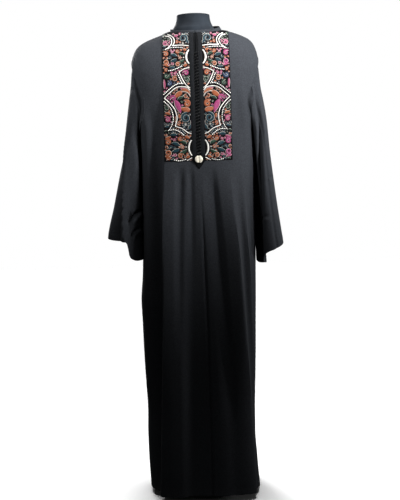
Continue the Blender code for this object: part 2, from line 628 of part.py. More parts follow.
def sleeve(name, table, folds, cuff, front, back, end):
    """A set-in sleeve from the armhole's edge to the cuff."""
    edge, out, beyond = armhole(front, back, end)
    count = len(edge)
    angle = 2 * math.pi * np.arange(count) / count
    cuff_z = smooth_curve(column_of(cuff, "angle"), column_of(cuff, "z"), np.degrees(angle))
    low = (1 - np.cos(angle)) / 2
    seat = smooth_step((low - UNDERARM_SHARE) / (1 - UNDERARM_SHARE))[:, None]
    start = edge + beyond * (1 - seat) * SLEEVE_SEAM_BEYOND + out * (SLEEVE_SEAM_OUT + seat * UNDERARM_OUT)
    blend_share = BLEND_AT_TOP + (BLEND_AT_UNDERARM - BLEND_AT_TOP) * low**2
    rows = [start]
    for m in range(1, SLEEVE_ROWS + 1):
        share = (m / SLEEVE_ROWS) ** SLEEVE_FLARE_POWER
        z = start[:, 2] + (cuff_z - start[:, 2]) * share
        target = sleeve_section(table, folds, angle, z, end)
        weight = (1 - (1 - np.clip(share / blend_share, 0, 1)) ** 2)[:, None]
        point = start * (1 - weight) + target * weight
        point[:, 2] = z
        rows.append(clear_of_body(point, end))
    grid = np.stack(rows)
    normals = grid_normals(grid, closed=True) * -end
    return wall(name, grid, grid - normals * CLOTH, "crepe", closed=True)


def neckband(front, back):
    """A narrow band round the neckline, open at the slit, on the panels' own top points."""
    first = SIDE_COLUMNS
    slit = first + SLIT_COLUMN
    base = np.concatenate(
        [
            front[0, slit + 1 : first + RIGHT_NECK_COLUMN + 1],
            back[0, first + 1 : first + len(BACK_COLUMNS) - 1][::-1],
            front[0, first + LEFT_NECK_COLUMN : slit + 1],
        ]
    )
    along = np.gradient(base, axis=0)
    out = unit(np.stack([-along[:, 1], along[:, 0], np.zeros(len(base))], -1)) * -1
    degrees = np.degrees(np.arctan2(-base[:, 1], base[:, 0])) % 360
    height = smooth_curve(column_of(NECKBAND, "angle"), column_of(NECKBAND, "height"), degrees)
    lean = smooth_curve(column_of(NECKBAND, "angle"), column_of(NECKBAND, "lean"), degrees)
    rows = []
    for k in range(NECKBAND_ROWS, -1, -1):
        share = k / NECKBAND_ROWS
        point = base + out * (lean * share - NECKBAND_INSET)[:, None]
        point[:, 2] += NECKBAND_SEAT + height * share
        rows.append(point)
    outer = np.stack(rows)
    return wall("neckband", outer, outer - out[None] * NECKBAND_THICKNESS, "crepe")


def placket_point():
    """The pointed end of the placket, below its two bands."""
    across = np.array([-1.0, -0.4, 0.4, 1.0])
    grid = np.stack(
        [
            body_surface(SLIT_X + across * row.half_width, BIB_BOTTOM_Z - row.below, FRONT)
            for row in PLACKET_POINT
        ]
    )
    normals = grid_normals(grid, closed=False)
    wall(
        "placket_point",
        grid + normals * (2 * LIFT + BAND_THICKNESS),
        grid + normals * 2 * LIFT,
        "braid",
    )


def opening_frame(front, z):
    """The opening's line on the front panel at that height, and the matrix whose -Y axis stands out there."""
    beside = np.s_[::-1, SIDE_COLUMNS + SLIT_COLUMN : SIDE_COLUMNS + SLIT_COLUMN + 2]
    line, out = (layer[beside].mean(axis=1) for layer in front)
    here = Vector([np.interp(z, line[:, 2], line[:, k]) for k in range(3)])
    out = Vector([np.interp(z, line[:, 2], out[:, k]) for k in range(3)]).normalized()
    right = out.cross(Vector((0, 0, -1))).normalized()
    return here, Matrix((right, -out, right.cross(-out))).transposed()


def knots(front):
    """The slanted knots that close the opening, one node each on a shared mesh."""
    mesh = bpy.data.meshes.new("knot")
    shape = bmesh.new()
    bmesh.ops.create_uvsphere(shape, u_segments=KNOT_SIDES, v_segments=KNOT_RINGS, radius=1.0)
    turn = Matrix.Rotation(math.pi / 2, 4, "Y")
    squeeze = Matrix.Diagonal((*KNOT_HALF, 1.0))
    slant = Matrix.Rotation(-KNOT_SLANT, 4, "Y")
    bmesh.ops.transform(shape, matrix=slant @ squeeze @ turn, verts=shape.verts)
    shape.to_mesh(mesh)
    shape.free()
    for k in range(KNOT_COUNT):
        z = KNOT_TOP_Z + (KNOT_BOTTOM_Z - KNOT_TOP_Z) * k / (KNOT_COUNT - 1)
        here, frame = opening_frame(front, z)
        knot = add_object(f"knot_{k + 1:02d}", mesh, "braid")
        out = frame @ Vector((0, -1, 0))
        knot.location = here + out * (LIFT + KNOT_HALF.y)
        knot.rotation_euler = frame.to_euler()


def half_disc(side):
    """The outline of half a disc with its two corners rounded, in the XZ plane, side -1 on the left."""
    corner_z = math.sqrt((CLASP_RADIUS - CLASP_CORNER) ** 2 - CLASP_CORNER**2)
    lean = math.atan2(corner_z, CLASP_CORNER)
    outline = []
    for sign in (1, -1):
        arc = []
        for k in range(CLASP_CORNER_STEPS + 1):
            turn = math.pi - (math.pi - lean) * k / CLASP_CORNER_STEPS
            arc.append(
                (CLASP_CORNER + CLASP_CORNER * math.cos(turn), corner_z + CLASP_CORNER * math.sin(turn))
            )
        arc = [(x, sign * z) for x, z in arc]
        outline += arc if sign > 0 else arc[::-1]
        if sign > 0:
            outline += [
                (CLASP_RADIUS * math.cos(turn), CLASP_RADIUS * math.sin(turn))
                for turn in np.linspace(lean, -lean, CLASP_ARC_STEPS + 1)[1:-1]
            ]
    points = [(side * (x + CLASP_PARTING), z) for x, z in outline]
    return points if side < 0 else points[::-1]


def clasp(front, side):
    """One half of the round clasp: a flat back and a crowned front."""
    outline = half_disc(side)
    middle = np.mean(outline, axis=0)
    mesh = bpy.data.meshes.new("clasp")
    shape = bmesh.new()
    rings = []
    for ring in CLASP_RINGS:
        spread = middle + (np.array(outline) - middle) * ring.spread
        rings.append([shape.verts.new((x, -ring.depth * CLASP_THICKNESS, z)) for x, z in spread])
    for low, high in zip(rings, rings[1:]):
        for k in range(len(low)):
            j = (k + 1) % len(low)
            shape.faces.new((low[k], low[j], high[j], high[k]))
    shape.faces.new(rings[0][::-1])
    shape.faces.new(rings[-1])
    bmesh.ops.recalc_face_normals(shape, faces=shape.faces)
    bmesh.ops.triangulate(shape, faces=shape.faces)
    shape.to_mesh(mesh)
    shape.free()
    here, frame = opening_frame(front, CLASP_Z)
    out = frame @ Vector((0, -1, 0))
    thing = add_object("clasp_left" if side < 0 else "clasp_right", mesh, "pearl")
    thing.location = here + out * (4 * LIFT + BAND_THICKNESS)
    thing.rotation_euler = frame.to_euler()


def form_ring(side_left, side_right, front, back, z_side, z_front, z_back, roundness):
    """One ring of the dress form."""
    turn = 2 * math.pi * np.arange(FORM_COLUMNS) / FORM_COLUMNS
    power = 2 / roundness
    cosine = np.sign(np.cos(turn)) * np.abs(np.cos(turn)) ** power
    sine = np.sign(np.sin(turn)) * np.abs(np.sin(turn)) ** power
    side = np.where(cosine < 0, side_left, side_right)
    depth = np.where(sine > 0, back, front)
    middle = np.where(sine > 0, z_back, z_front)
    return np.stack([side * cosine, depth * sine, z_side + (middle - z_side) * np.abs(sine)], -1)


def lathe(name, rings, finish):
    """A closed body through rings of points, from the top down, with flat ends."""
    mesh = bpy.data.meshes.new(name)
    shape = bmesh.new()
    loops = [[shape.verts.new(point) for point in ring] for ring in rings]
    for high, low in zip(loops, loops[1:]):
        for k in range(len(high)):
            j = (k + 1) % len(high)
            shape.faces.new((high[k], low[k], low[j], high[j]))
    shape.faces.new(loops[0])
    shape.faces.new(loops[-1][::-1])
    bmesh.ops.recalc_face_normals(shape, faces=shape.faces)
    bmesh.ops.triangulate(shape, faces=shape.faces)
    shape.to_mesh(mesh)
    shape.free()
    return add_object(name, mesh, finish)


def dress_form():
    """The neck, shoulders and trunk that the garment rests on, without limbs."""
    rings = [
        form_ring(row.side, row.side, row.front, row.back, row.z, row.z, row.z, 2.0) for row in FORM_NECK
    ]
    for level in FORM_YOKE_LEVELS:
        rings.append(
            form_ring(
                at_level("left", level) - FORM_SIDE_GAP,
                at_level("right", level) - FORM_SIDE_GAP,
                at_level("front_y", level) - FORM_DEPTH_GAP,
                at_level("back_y", level) - FORM_DEPTH_GAP,
                level - FORM_DROP,
                at_level("front_z", level) - FORM_DROP,
                at_level("back_z", level) - FORM_DROP,
                float(at_level("round", level)),
            )
        )
    shoulder = FORM_TRUNK[0].z
    for row in FORM_TRUNK:
        drop = smooth_step((row.z - FORM_DIP_Z) / (shoulder - FORM_DIP_Z))
        front_z = row.z - FORM_FRONT_DIP * drop
        back_z = row.z - FORM_BACK_DIP * drop
        rings.append(
            form_ring(row.side, row.side, row.front, row.back, row.z, front_z, back_z, FORM_ROUNDNESS)
        )
    last = FORM_TRUNK[-1]
    share = FORM_BOTTOM_SHARE
    rings.append(
        form_ring(
            last.side * share, last.side * share, last.front * share, last.back * share,
            FORM_BOTTOM_Z, FORM_BOTTOM_Z, FORM_BOTTOM_Z, FORM_ROUNDNESS,
        )
    )
    lathe("form_torso", rings, "form_jersey")


def neck_cap():
    """The low dome that closes the form's neck."""
    top = FORM_NECK[0]
    base_z = top.z + SEAM_GAP
    rings = []
    for k in range(CAP_RINGS, -1, -1):
        lean = math.pi / 2 * k / CAP_RINGS
        share = max(math.cos(lean), CAP_TOP_SHARE)
        z = base_z + CAP_RIM + (CAP_DOME - CAP_RIM) * math.sin(lean)
        rings.append(
            form_ring(
                top.side * share, top.side * share, top.front * share, top.back * share, z, z, z, 2.0
            )
        )
    rings.append(form_ring(top.side, top.side, top.front, top.back, base_z, base_z, base_z, 2.0))
    lathe("form_neck_cap", rings, "form_jersey")


def turned(name, profile, sides):
    """A round piece from its profile of radius and height, from the top down."""
    turn = 2 * math.pi * np.arange(sides) / sides
    rings = [
        np.stack([radius * np.cos(turn), radius * np.sin(turn), np.full(sides, z)], -1)
        for radius, z in profile
    ]
    lathe(name, rings, "stand_metal")


def stand():
    """The pole, its hub and the round base that everything stands on."""
    hub_top = BASE_THICKNESS + SEAM_GAP + HUB_HEIGHT
    pole = [(POLE_RADIUS, FORM_BOTTOM_Z - SEAM_GAP), (POLE_RADIUS, hub_top + SEAM_GAP)]
    turned("stand_pole", pole, POLE_SIDES)
    turned(
        "stand_hub",
        [
            (HUB_TOP_RADIUS, hub_top),
            (HUB_TOP_RADIUS, hub_top - HUB_NECK),
            (HUB_RADIUS, BASE_THICKNESS + SEAM_GAP + HUB_RIM),
            (HUB_RADIUS, BASE_THICKNESS + SEAM_GAP),
        ],
        HUB_SIDES,
    )
    turned(
        "stand_base",
        [
            (BASE_RADIUS - BASE_BEVEL, BASE_THICKNESS),
            (BASE_RADIUS, BASE_THICKNESS - BASE_BEVEL),
            (BASE_RADIUS, 0.0),
        ],
        BASE_SIDES,
    )


def row_levels(lower_rows):
    """The levels of a panel's rows from the underarm to the hem."""
    upper = [UNDERARM_Z, (UNDERARM_Z + SLIT_END_Z) / 2, SLIT_END_Z, BIB_BOTTOM_Z, POINT_Z]
    return np.array(upper + list(np.linspace(POINT_Z, HEM_Z, lower_rows + 1)[1:]))


def garment():
    """All the cloth: panels, sleeves, neckband, bib, placket, knots and clasp."""
    front_levels = row_levels(FRONT_LOWER_ROWS)
    front = panel_grid(FRONT_COLUMNS, front_levels, FRONT)
    back = panel_grid(BACK_COLUMNS, np.linspace(UNDERARM_Z, HEM_Z, BACK_LOWER_ROWS + 1), BACK)
    slit_rows = YOKE_ROWS + int(np.searchsorted(-front_levels, -SLIT_END_Z))
    bib_rows = YOKE_ROWS + int(np.searchsorted(-front_levels, -BIB_BOTTOM_Z))
    first = SIDE_COLUMNS
    panel("front", *front, FRONT, skipped={(r, first + SLIT_COLUMN) for r in range(slit_rows)})
    panel("back", *back, BACK)
    sleeve("sleeve_left", LEFT_SLEEVE, LEFT_SLEEVE_FOLDS, LEFT_CUFF, front, back, -1)
    sleeve("sleeve_right", RIGHT_SLEEVE, RIGHT_SLEEVE_FOLDS, RIGHT_CUFF, front, back, 1)
    neckband(front[0], back[0])
    pieces = (
        ("bib_left", 0, 6, bib_rows, BIB_THICKNESS, "embroidery", 0.0, SEAM_GAP),
        ("band_left", 6, 7, slit_rows, BAND_THICKNESS, "braid", 0.0, 0.0),
        ("band_right", 10, 11, slit_rows, BAND_THICKNESS, "braid", 0.0, 0.0),
        ("bib_right", 11, 17, bib_rows, BIB_THICKNESS, "embroidery", SEAM_GAP, 0.0),
    )
    for name, left, right, rows, thickness, finish, trim_left, trim_right in pieces:
        cut = np.s_[: rows + 1, first + left : first + right + 1]
        overlay(name, front[0][cut], front[1][cut], thickness, finish, trim_left, trim_right)
    placket_point()
    knots(front)
    clasp(front, -1)
    clasp(front, 1)


clear_scene()
garment()
dress_form()
neck_cap()
stand()
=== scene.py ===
"""The looks of a long djellaba with an embroidered front, worn by a limbless dress form on a stand.

Metres, +Z up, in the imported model's frame. The garment faces -Y, the floor is Z = 0, and left and right are
the viewer's own as they face it. The cloth is drawn on the same rings and folds as the solids, with many
more rows and columns, and with the creases, stitches and embroidery that the solids leave out.
"""

import math
from collections import namedtuple

import bmesh
import bpy
import numpy as np
from mathutils import Matrix, Vector


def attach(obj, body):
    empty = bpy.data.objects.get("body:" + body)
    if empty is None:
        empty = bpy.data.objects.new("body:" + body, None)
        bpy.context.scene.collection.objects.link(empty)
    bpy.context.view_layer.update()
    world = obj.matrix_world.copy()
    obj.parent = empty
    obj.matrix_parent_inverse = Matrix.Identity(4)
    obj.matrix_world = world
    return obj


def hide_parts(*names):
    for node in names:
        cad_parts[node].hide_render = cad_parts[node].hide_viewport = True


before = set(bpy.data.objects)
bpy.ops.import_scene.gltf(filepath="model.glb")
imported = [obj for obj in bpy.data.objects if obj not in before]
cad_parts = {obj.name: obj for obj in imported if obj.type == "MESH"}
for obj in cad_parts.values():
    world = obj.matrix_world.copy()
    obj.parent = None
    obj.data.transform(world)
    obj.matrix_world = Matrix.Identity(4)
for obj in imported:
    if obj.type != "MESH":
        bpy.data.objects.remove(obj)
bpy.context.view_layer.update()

# Sizes of the cloth and of the gaps between its pieces
CLOTH = 0.0015
SEAM_GAP = 0.0003
FRONT, BACK = -1, 1

# Heights of the garment
HEM_Z = 0.020
UNDERARM_Z = 1.200
SHOULDER_TIP_Z = 1.440
NECK_Z = 1.530

# The front opening, its two flat bands, and the embroidered panels beside them
SLIT_X = 0.005
SLIT_HALF = 0.0012
BAND_INNER, BAND_OUTER = 0.0066, 0.0198
SLIT_END_Z = 1.128
BIB_BOTTOM_Z = 1.112
POINT_Z = 1.087
BIB_THICKNESS = 0.0012
BAND_THICKNESS = 0.0018
LIFT = 0.0003
GROUND_TOP = LIFT + BIB_THICKNESS

# The rings of the body cloth. side_z is the height at the side, where front and back meet, and round is 2
# for an ellipse and more for flatter sides
Level = namedtuple("Level", "side_z left right front_y front_z back_y back_z round")
LEVELS = [Level(*row) for row in [
    (NECK_Z, 0.0775, 0.0930, 0.0720, 1.5165, 0.0600, 1.5330, 2.00),
    (1.5265, 0.0885, 0.1130, 0.0810, 1.5050, 0.0690, 1.5240, 2.08),
    (1.5215, 0.1015, 0.1300, 0.0900, 1.4900, 0.0770, 1.5120, 2.15),
    (1.5140, 0.1225, 0.1500, 0.0990, 1.4720, 0.0850, 1.4970, 2.25),
    (1.5060, 0.1450, 0.1680, 0.1070, 1.4550, 0.0920, 1.4810, 2.35),
    (1.4950, 0.1680, 0.1840, 0.1140, 1.4340, 0.1000, 1.4600, 2.45),
    (1.4820, 0.1850, 0.1940, 0.1200, 1.4145, 0.1050, 1.4390, 2.50),
    (1.4650, 0.1960, 0.2010, 0.1245, 1.3950, 0.1090, 1.4180, 2.55),
    (SHOULDER_TIP_Z, 0.2045, 0.2075, 0.1290, 1.3720, 0.1120, 1.3930, 2.60),
    (1.390, 0.2085, 0.2115, 0.135, 1.3350, 0.113, 1.3500, 2.6),
    (1.320, 0.2060, 0.2090, 0.140, 1.2900, 0.111, 1.2980, 2.6),
    (1.250, 0.1960, 0.2000, 0.143, 1.2400, 0.109, 1.2430, 2.6),
]]
# From the underarm down the rings are level, and all of one roundness
LOWER_ROUND = 2.6
LEVELS += [Level(z, left, right, front, z, back, z, LOWER_ROUND) for z, left, right, front, back in [
    (UNDERARM_Z, 0.1880, 0.1910, 0.144, 0.108),
    (1.100, 0.1870, 0.1895, 0.143, 0.108),
    (0.950, 0.1875, 0.1865, 0.141, 0.111),
    (0.790, 0.1905, 0.1845, 0.140, 0.117),
    (0.730, 0.1940, 0.1835, 0.140, 0.119),
    (0.650, 0.2005, 0.1820, 0.142, 0.123),
    (0.580, 0.1990, 0.1800, 0.143, 0.126),
    (0.490, 0.1980, 0.1780, 0.145, 0.130),
    (0.390, 0.1950, 0.1745, 0.147, 0.134),
    (0.290, 0.1915, 0.1695, 0.150, 0.138),
    (0.200, 0.1940, 0.1690, 0.153, 0.142),
    (0.120, 0.1935, 0.1735, 0.156, 0.145),
    (HEM_Z, 0.1895, 0.1805, 0.160, 0.150),
]]

# Long folds: from start_z to end_z the crest or valley passes x_start, x_middle and x_end. It grows over
# that share of its length and fades over the last share. left and right are its half widths, and depth is
# outward. crisp is 0 for a round fold and 1 for a sharp edge
Fold = namedtuple("Fold", "start_z end_z x_start x_middle x_end grow fade left right depth crisp")
FRONT_FOLDS = [Fold(*row) for row in [
    (1.250, 0.00, -0.102, -0.1170, -0.142, 0.26, 0.0, 0.016, 0.090, 0.0230, 0.85),
    (1.440, 0.00, -0.114, -0.1290, -0.156, 0.36, 0.0, 0.054, 0.012, -0.0240, 0.25),
    (1.105, 0.00, -0.018, -0.0300, -0.040, 0.40, 0.0, 0.042, 0.125, -0.0150, 0.10),
    (1.076, 0.00, 0.0075, 0.0185, 0.020, 0.35, 0.0, 0.010, 0.008, -0.0060, 0.80),
    (1.112, 0.00, 0.100, 0.1270, 0.146, 0.30, 0.0, 0.062, 0.026, 0.0290, 0.85),
    (1.125, 0.00, 0.140, 0.1590, 0.173, 0.30, 0.0, 0.016, 0.009, 0.0140, 0.80),
    (1.105, 0.20, 0.044, 0.0760, 0.092, 0.12, 0.5, 0.044, 0.017, -0.0110, 0.35),
    (1.108, 0.45, -0.052, -0.0660, -0.070, 0.10, 0.6, 0.020, 0.018, -0.0085, 0.30),
    (1.108, 0.70, -0.022, -0.0240, -0.028, 0.15, 0.6, 0.013, 0.015, -0.0045, 0.35),
    (1.440, 1.14, 0.148, 0.1500, 0.156, 0.40, 0.4, 0.022, 0.018, 0.0040, 0.20),
]]
BACK_FOLDS = [Fold(*row) for row in [
    (1.300, 0.00, -0.120, -0.1300, -0.138, 0.60, 0.0, 0.030, 0.034, 0.0150, 0.35),
    (1.340, 0.00, -0.080, -0.0850, -0.088, 0.60, 0.0, 0.030, 0.026, -0.0130, 0.15),
    (1.260, 0.00, -0.034, -0.0400, -0.045, 0.55, 0.0, 0.026, 0.034, 0.0140, 0.40),
    (1.380, 0.00, 0.006, 0.0080, 0.010, 0.60, 0.0, 0.032, 0.028, -0.0150, 0.15),
    (1.240, 0.00, 0.050, 0.0560, 0.060, 0.60, 0.0, 0.030, 0.028, 0.0150, 0.35),
    (1.320, 0.00, 0.092, 0.0980, 0.102, 0.60, 0.0, 0.026, 0.028, -0.0120, 0.15),
    (1.280, 0.00, 0.130, 0.1380, 0.144, 0.60, 0.0, 0.024, 0.020, 0.0110, 0.35),
]]
# Folds fade towards the sides by this power of the share of the half width
FOLD_SIDE_POWER = 10
# The front's left side stands squarer beside the sleeve, by that much, from that share of the half width on.
# It grows between the two upper heights and fades between the two lower ones
CORNER_DEPTH, CORNER_START, CORNER_POWER = 0.017, 0.70, 1.6
CORNER_TOP_Z, CORNER_LOW_Z = (1.40, 1.20), (0.62, 0.86)

# Columns of the panels' grids: x at the top edge, beside the slit down to the bib's bottom, at mid height
# and at the hem. Between them lie finer columns
Column = namedtuple("Column", "x_top beside_slit x_middle x_hem")
MIDDLE_Z = 0.600
FRONT_COLUMNS = [Column(*row) for row in [
    (-0.1010, -0.1060, -0.1195, -0.142),
    (-0.0900, -0.0945, -0.1050, -0.122),
    (-0.0775, -0.0830, -0.0880, -0.098),
    (-0.0729, -0.0670, -0.0720, -0.080),
    (-0.0597, -0.0510, -0.0560, -0.062),
    (-0.0396, -0.0350, -0.0380, -0.040),
    (SLIT_X - BAND_OUTER, -BAND_OUTER, -0.0190, -0.018),
    (SLIT_X - BAND_INNER, -BAND_INNER, 0.0040, 0.004),
    (SLIT_X - SLIT_HALF, -SLIT_HALF, 0.0160, 0.017),
    (SLIT_X + SLIT_HALF, SLIT_HALF, 0.0205, 0.023),
    (SLIT_X + BAND_INNER, BAND_INNER, 0.0310, 0.034),
    (SLIT_X + BAND_OUTER, BAND_OUTER, 0.0450, 0.050),
    (0.0521, 0.0380, 0.0600, 0.067),
    (0.0740, 0.0560, 0.0780, 0.085),
    (0.0881, 0.0720, 0.0955, 0.102),
    (0.0930, 0.0840, 0.1130, 0.125),
    (0.1030, 0.0950, 0.1300, 0.147),
    (0.1110, 0.1060, 0.1480, 0.172),
]]
BACK_COLUMNS = [Column(*row) for row in [
    (-0.0775, -0.083, -0.1060, -0.114),
    (-0.0594, -0.043, -0.0620, -0.066),
    (-0.0135, -0.009, -0.0160, -0.018),
    (0.0465, 0.026, 0.0320, 0.035),
    (0.0874, 0.062, 0.0780, 0.081),
    (0.0930, 0.079, 0.0980, 0.102),
]]
# The listed columns that bound the slit and the neckline, and how many finer ones stand for each. Beyond the
# outermost listed column, columns crowd towards the armhole and the side seam
SLIT_COLUMN = 8
LEFT_NECK_COLUMN, RIGHT_NECK_COLUMN = 2, 15
FINER, BACK_FINER = 5, 12
SIDE_COLUMNS = 24
SLIT_FIRST = SIDE_COLUMNS + SLIT_COLUMN * FINER
CROWDING_START = 1.2
# Rows above and below the underarm. The lower ones have rows at the ends of slit, bib and point
YOKE_ROWS = 56
FRONT_LOWER_ROWS, UPPER_ROWS = 150, (14, 4, 6)
# Steps in which a column and the shoulder's ridge are measured, and the steps to the sides for a normal
COLUMN_STEPS, COLUMN_CROWDING, RIDGE_STEPS = 240, 3, 200
NORMAL_STEP_SHARE, NORMAL_STEP_Z = 0.012, 0.003

# How far the armhole's edge stands inside a straight line from shoulder tip to underarm
Inset = namedtuple("Inset", "share front back")
ARMHOLE = [Inset(*row) for row in [
    (0.00, 0.000, 0.000),
    (0.20, 0.019, 0.012),
    (0.45, 0.035, 0.022),
    (0.70, 0.027, 0.016),
    (0.90, 0.009, 0.005),
    (1.00, 0.000, 0.000),
]]

# Sleeve sections: the side that faces the body, the outer side, and the reach forwards and backwards
SleeveLevel = namedtuple("SleeveLevel", "z inner outer front back")
LEFT_SLEEVE = [SleeveLevel(*row) for row in [
    (1.443, 0.1900, 0.2050, 0.076, 0.070),
    (1.366, 0.1920, 0.2122, 0.082, 0.076),
    (1.314, 0.1880, 0.2185, 0.086, 0.080),
    (1.262, 0.1820, 0.2245, 0.088, 0.083),
    (1.203, 0.1760, 0.2310, 0.090, 0.084),
    (1.158, 0.1740, 0.2390, 0.090, 0.085),
    (1.065, 0.1800, 0.2585, 0.088, 0.085),
    (0.973, 0.1840, 0.2787, 0.086, 0.084),
    (0.879, 0.1860, 0.3018, 0.084, 0.082),
    (0.780, 0.1890, 0.3120, 0.080, 0.080),
]]
RIGHT_SLEEVE = [SleeveLevel(*row) for row in [
    (1.430, 0.1930, 0.2095, 0.076, 0.070),
    (1.352, 0.1900, 0.2145, 0.082, 0.076),
    (1.300, 0.1800, 0.2230, 0.087, 0.080),
    (1.248, 0.1750, 0.2293, 0.089, 0.083),
    (1.189, 0.1750, 0.2345, 0.090, 0.084),
    (1.144, 0.1780, 0.2382, 0.090, 0.085),
    (1.051, 0.1830, 0.2485, 0.088, 0.085),
    (0.959, 0.1845, 0.2600, 0.086, 0.084),
    (0.838, 0.1860, 0.2770, 0.080, 0.080),
    (0.760, 0.1890, 0.2850, 0.078, 0.078),
]]

# The cuff's height round the sleeve: 0 degrees is its outer side and 90 its front
CuffPoint = namedtuple("CuffPoint", "angle z")
LEFT_CUFF = [CuffPoint(*row) for row in [
    (0, 0.867), (60, 0.859), (94, 0.855), (98, 0.844),
    (103, 0.812), (108, 0.801), (126, 0.793), (160, 0.797),
    (200, 0.806), (270, 0.838), (360, 0.867),
]]
RIGHT_CUFF = [CuffPoint(*row) for row in [
    (0, 0.837), (60, 0.824), (90, 0.814), (118, 0.798),
    (140, 0.771), (170, 0.769), (200, 0.780), (270, 0.806),
    (315, 0.826), (360, 0.837),
]]

# Long folds of the sleeves. Their line passes angle_top at start_z, angle_middle halfway, and angle_low at
# the lowest section. They have grown to their depth at grown_z. before and after are half widths in degrees
SleeveFold = namedtuple(
    "SleeveFold", "angle_top angle_middle angle_low start_z grown_z before after depth crisp"
)
LEFT_SLEEVE_FOLDS = [SleeveFold(*row) for row in [
    (22, 71, 97, 1.27, 1.12, 7, 50, 0.0095, 0.60),
    (10, 60, 86, 1.27, 1.12, 55, 11, -0.0200, 0.60),
    (104, 126, 142, 1.225, 1.080, 40, 24, 0.0130, 0.10),
    (136, 156, 172, 1.268, 1.245, 12, 18, -0.0050, 0.35),
    (8, 142, 170, 1.470, 1.435, 16, 12, -0.0100, 0.50),
    (285, 285, 285, 1.15, 0.90, 36, 36, -0.0110, 0.30),
]]
RIGHT_SLEEVE_FOLDS = [SleeveFold(*row) for row in [
    (100, 96, 92, 1.24, 1.00, 40, 30, 0.0040, 0.20),
    (6, 110, 150, 1.480, 1.435, 34, 15, -0.0180, 0.40),
    (62, 78, 70, 1.36, 1.20, 12, 14, -0.0035, 0.30),
    (150, 149, 157, 1.24, 1.08, 26, 34, -0.0150, 0.25),
    (250, 250, 250, 1.15, 0.90, 36, 36, -0.0110, 0.30),
]]
# Short creases of the sleeves, from one angle and height to another, pressed in by their depth, with a lower
# ridge below them. half is their half width in metres
Crease = namedtuple("Crease", "angle_a z_a angle_b z_b half depth")
LEFT_SLEEVE_CREASES = [
    Crease(98, 0.936, 150, 0.970, 0.014, 0.0120),
    Crease(104, 0.880, 132, 0.906, 0.010, 0.0080),
    Crease(124, 1.262, 176, 1.272, 0.010, 0.0040),
    Crease(40, 1.352, 92, 1.330, 0.016, 0.0020),
]
RIGHT_SLEEVE_CREASES = [
    Crease(96, 0.934, 150, 0.914, 0.012, 0.0035),
    Crease(40, 1.060, 84, 1.046, 0.014, 0.0020),
]
# A crease bows by that share of its half width, passes its ends by that share of its length and fades at
# that slope. Its upper side is narrower, and its ridge stands that many half widths below it
CREASE_BOW, CREASE_BEYOND, CREASE_END_SLOPE = 0.5, 0.25, 2.5
CREASE_UPPER, CREASE_CRISP = 0.6, 0.5
RIDGE_SHARE, RIDGE_BELOW, RIDGE_LOWER, RIDGE_CRISP = 0.6, 1.1, 1.4, 0.2

# A whole sleeve. end is -1 on the left and 1 on the right
SleeveShape = namedtuple("SleeveShape", "name end sections folds creases cuff")
SLEEVES = [
    SleeveShape("sleeve_left", -1, LEFT_SLEEVE, LEFT_SLEEVE_FOLDS, LEFT_SLEEVE_CREASES, LEFT_CUFF),
    SleeveShape("sleeve_right", 1, RIGHT_SLEEVE, RIGHT_SLEEVE_FOLDS, RIGHT_SLEEVE_CREASES, RIGHT_CUFF),
]
SLEEVE_ROUNDNESS = 2.4
SLEEVE_ROWS, SLEEVE_FLARE_POWER = 190, 1.35
# Below that height the sleeve stays that far from the body cloth
SLEEVE_CLEAR_Z, SLEEVE_GAP = 1.240, 0.0024
# The sleeve starts that far beyond the armhole's edge and out of it, and farther out near the underarm
SLEEVE_SEAM_BEYOND, SLEEVE_SEAM_OUT, UNDERARM_OUT, UNDERARM_SHARE = 0.0006, 0.0002, 0.0010, 0.55
# Shares of the sleeve's length after which it has taken the shape of its sections and its folds
BLEND_AT_TOP, BLEND_AT_UNDERARM, RELIEF_SHARE = 0.34, 0.08, 0.03
SEAM_CORD, SEAM_SIDES = 0.0010, 8
# The groove beside the armhole, deepest in front, at that distance from the seam and that wide
GROOVE_DEPTH, GROOVE_AT, GROOVE_WIDTH, GROOVE_FADE_Z = 0.0120, 0.007, 0.034, (1.240, 1.310)
GROOVE_BEHIND = 0.35
GROOVE_POWER = math.log(0.5) / math.log(GROOVE_AT / GROOVE_WIDTH)
# Hems: turned up by that height, slightly thicker, and held by a row of small stitches
HEM_HEIGHT, HEM_THICKER = 0.022, 0.0005
STITCH_PITCH, STITCH_LENGTH, STITCH_HALF = 0.0042, 0.0027, 0.00032
STITCH_PLACES, STITCH_WIDTHS = np.array([-0.5, -0.3, 0.3, 0.5]), np.array([0.35, 1.0, 1.0, 0.35])
STITCH_TURNS = np.radians([0, 60, 120, 180, 270])

# The neckband's height above the neckline, by the angle round it: 0 is the right side, 90 the front
BandPoint = namedtuple("BandPoint", "angle height lean")
NECKBAND = [BandPoint(*row) for row in [
    (0, 0.0135, -0.0080), (40, 0.0095, -0.0030), (90, 0.0078, -0.0015),
    (140, 0.0075, -0.0015), (180, 0.0080, -0.0015), (270, 0.0160, -0.0040),
    (335, 0.0160, -0.0075), (360, 0.0135, -0.0080),
]]
NECKBAND_THICKNESS = 0.0020
NECKBAND_SEAT = 0.0003
NECKBAND_INSET = 0.0008
NECKBAND_ROWS = 8
# The band thins above that share of its height, by that much at its top
NECKBAND_ROUND_FROM, NECKBAND_ROUNDING = 0.8, 0.9

# The knots on the opening, the clasp, and the point of the placket. Knots are cords tied in a trefoil
KNOT_COUNT = 34
KNOT_TOP_Z, KNOT_BOTTOM_Z = 1.450, 1.137
KNOT_HALF = (0.0050, 0.0016, 0.0026)
KNOT_CORD = 0.00085
KNOT_SLANT = math.radians(22)
KNOT_STEPS, KNOT_SIDES = 60, 8
# A knot's loops, from their start to their end, which lies deeper and closer together
LOOP_START, LOOP_REACH, LOOP_CORD, LOOP_SPREAD = 0.002, 0.0088, 0.00055, 0.0012
LOOP_SINKING, LOOP_CLOSING = 0.0017, 0.5
LOOP_STEPS, LOOP_SIDES = 10, 6
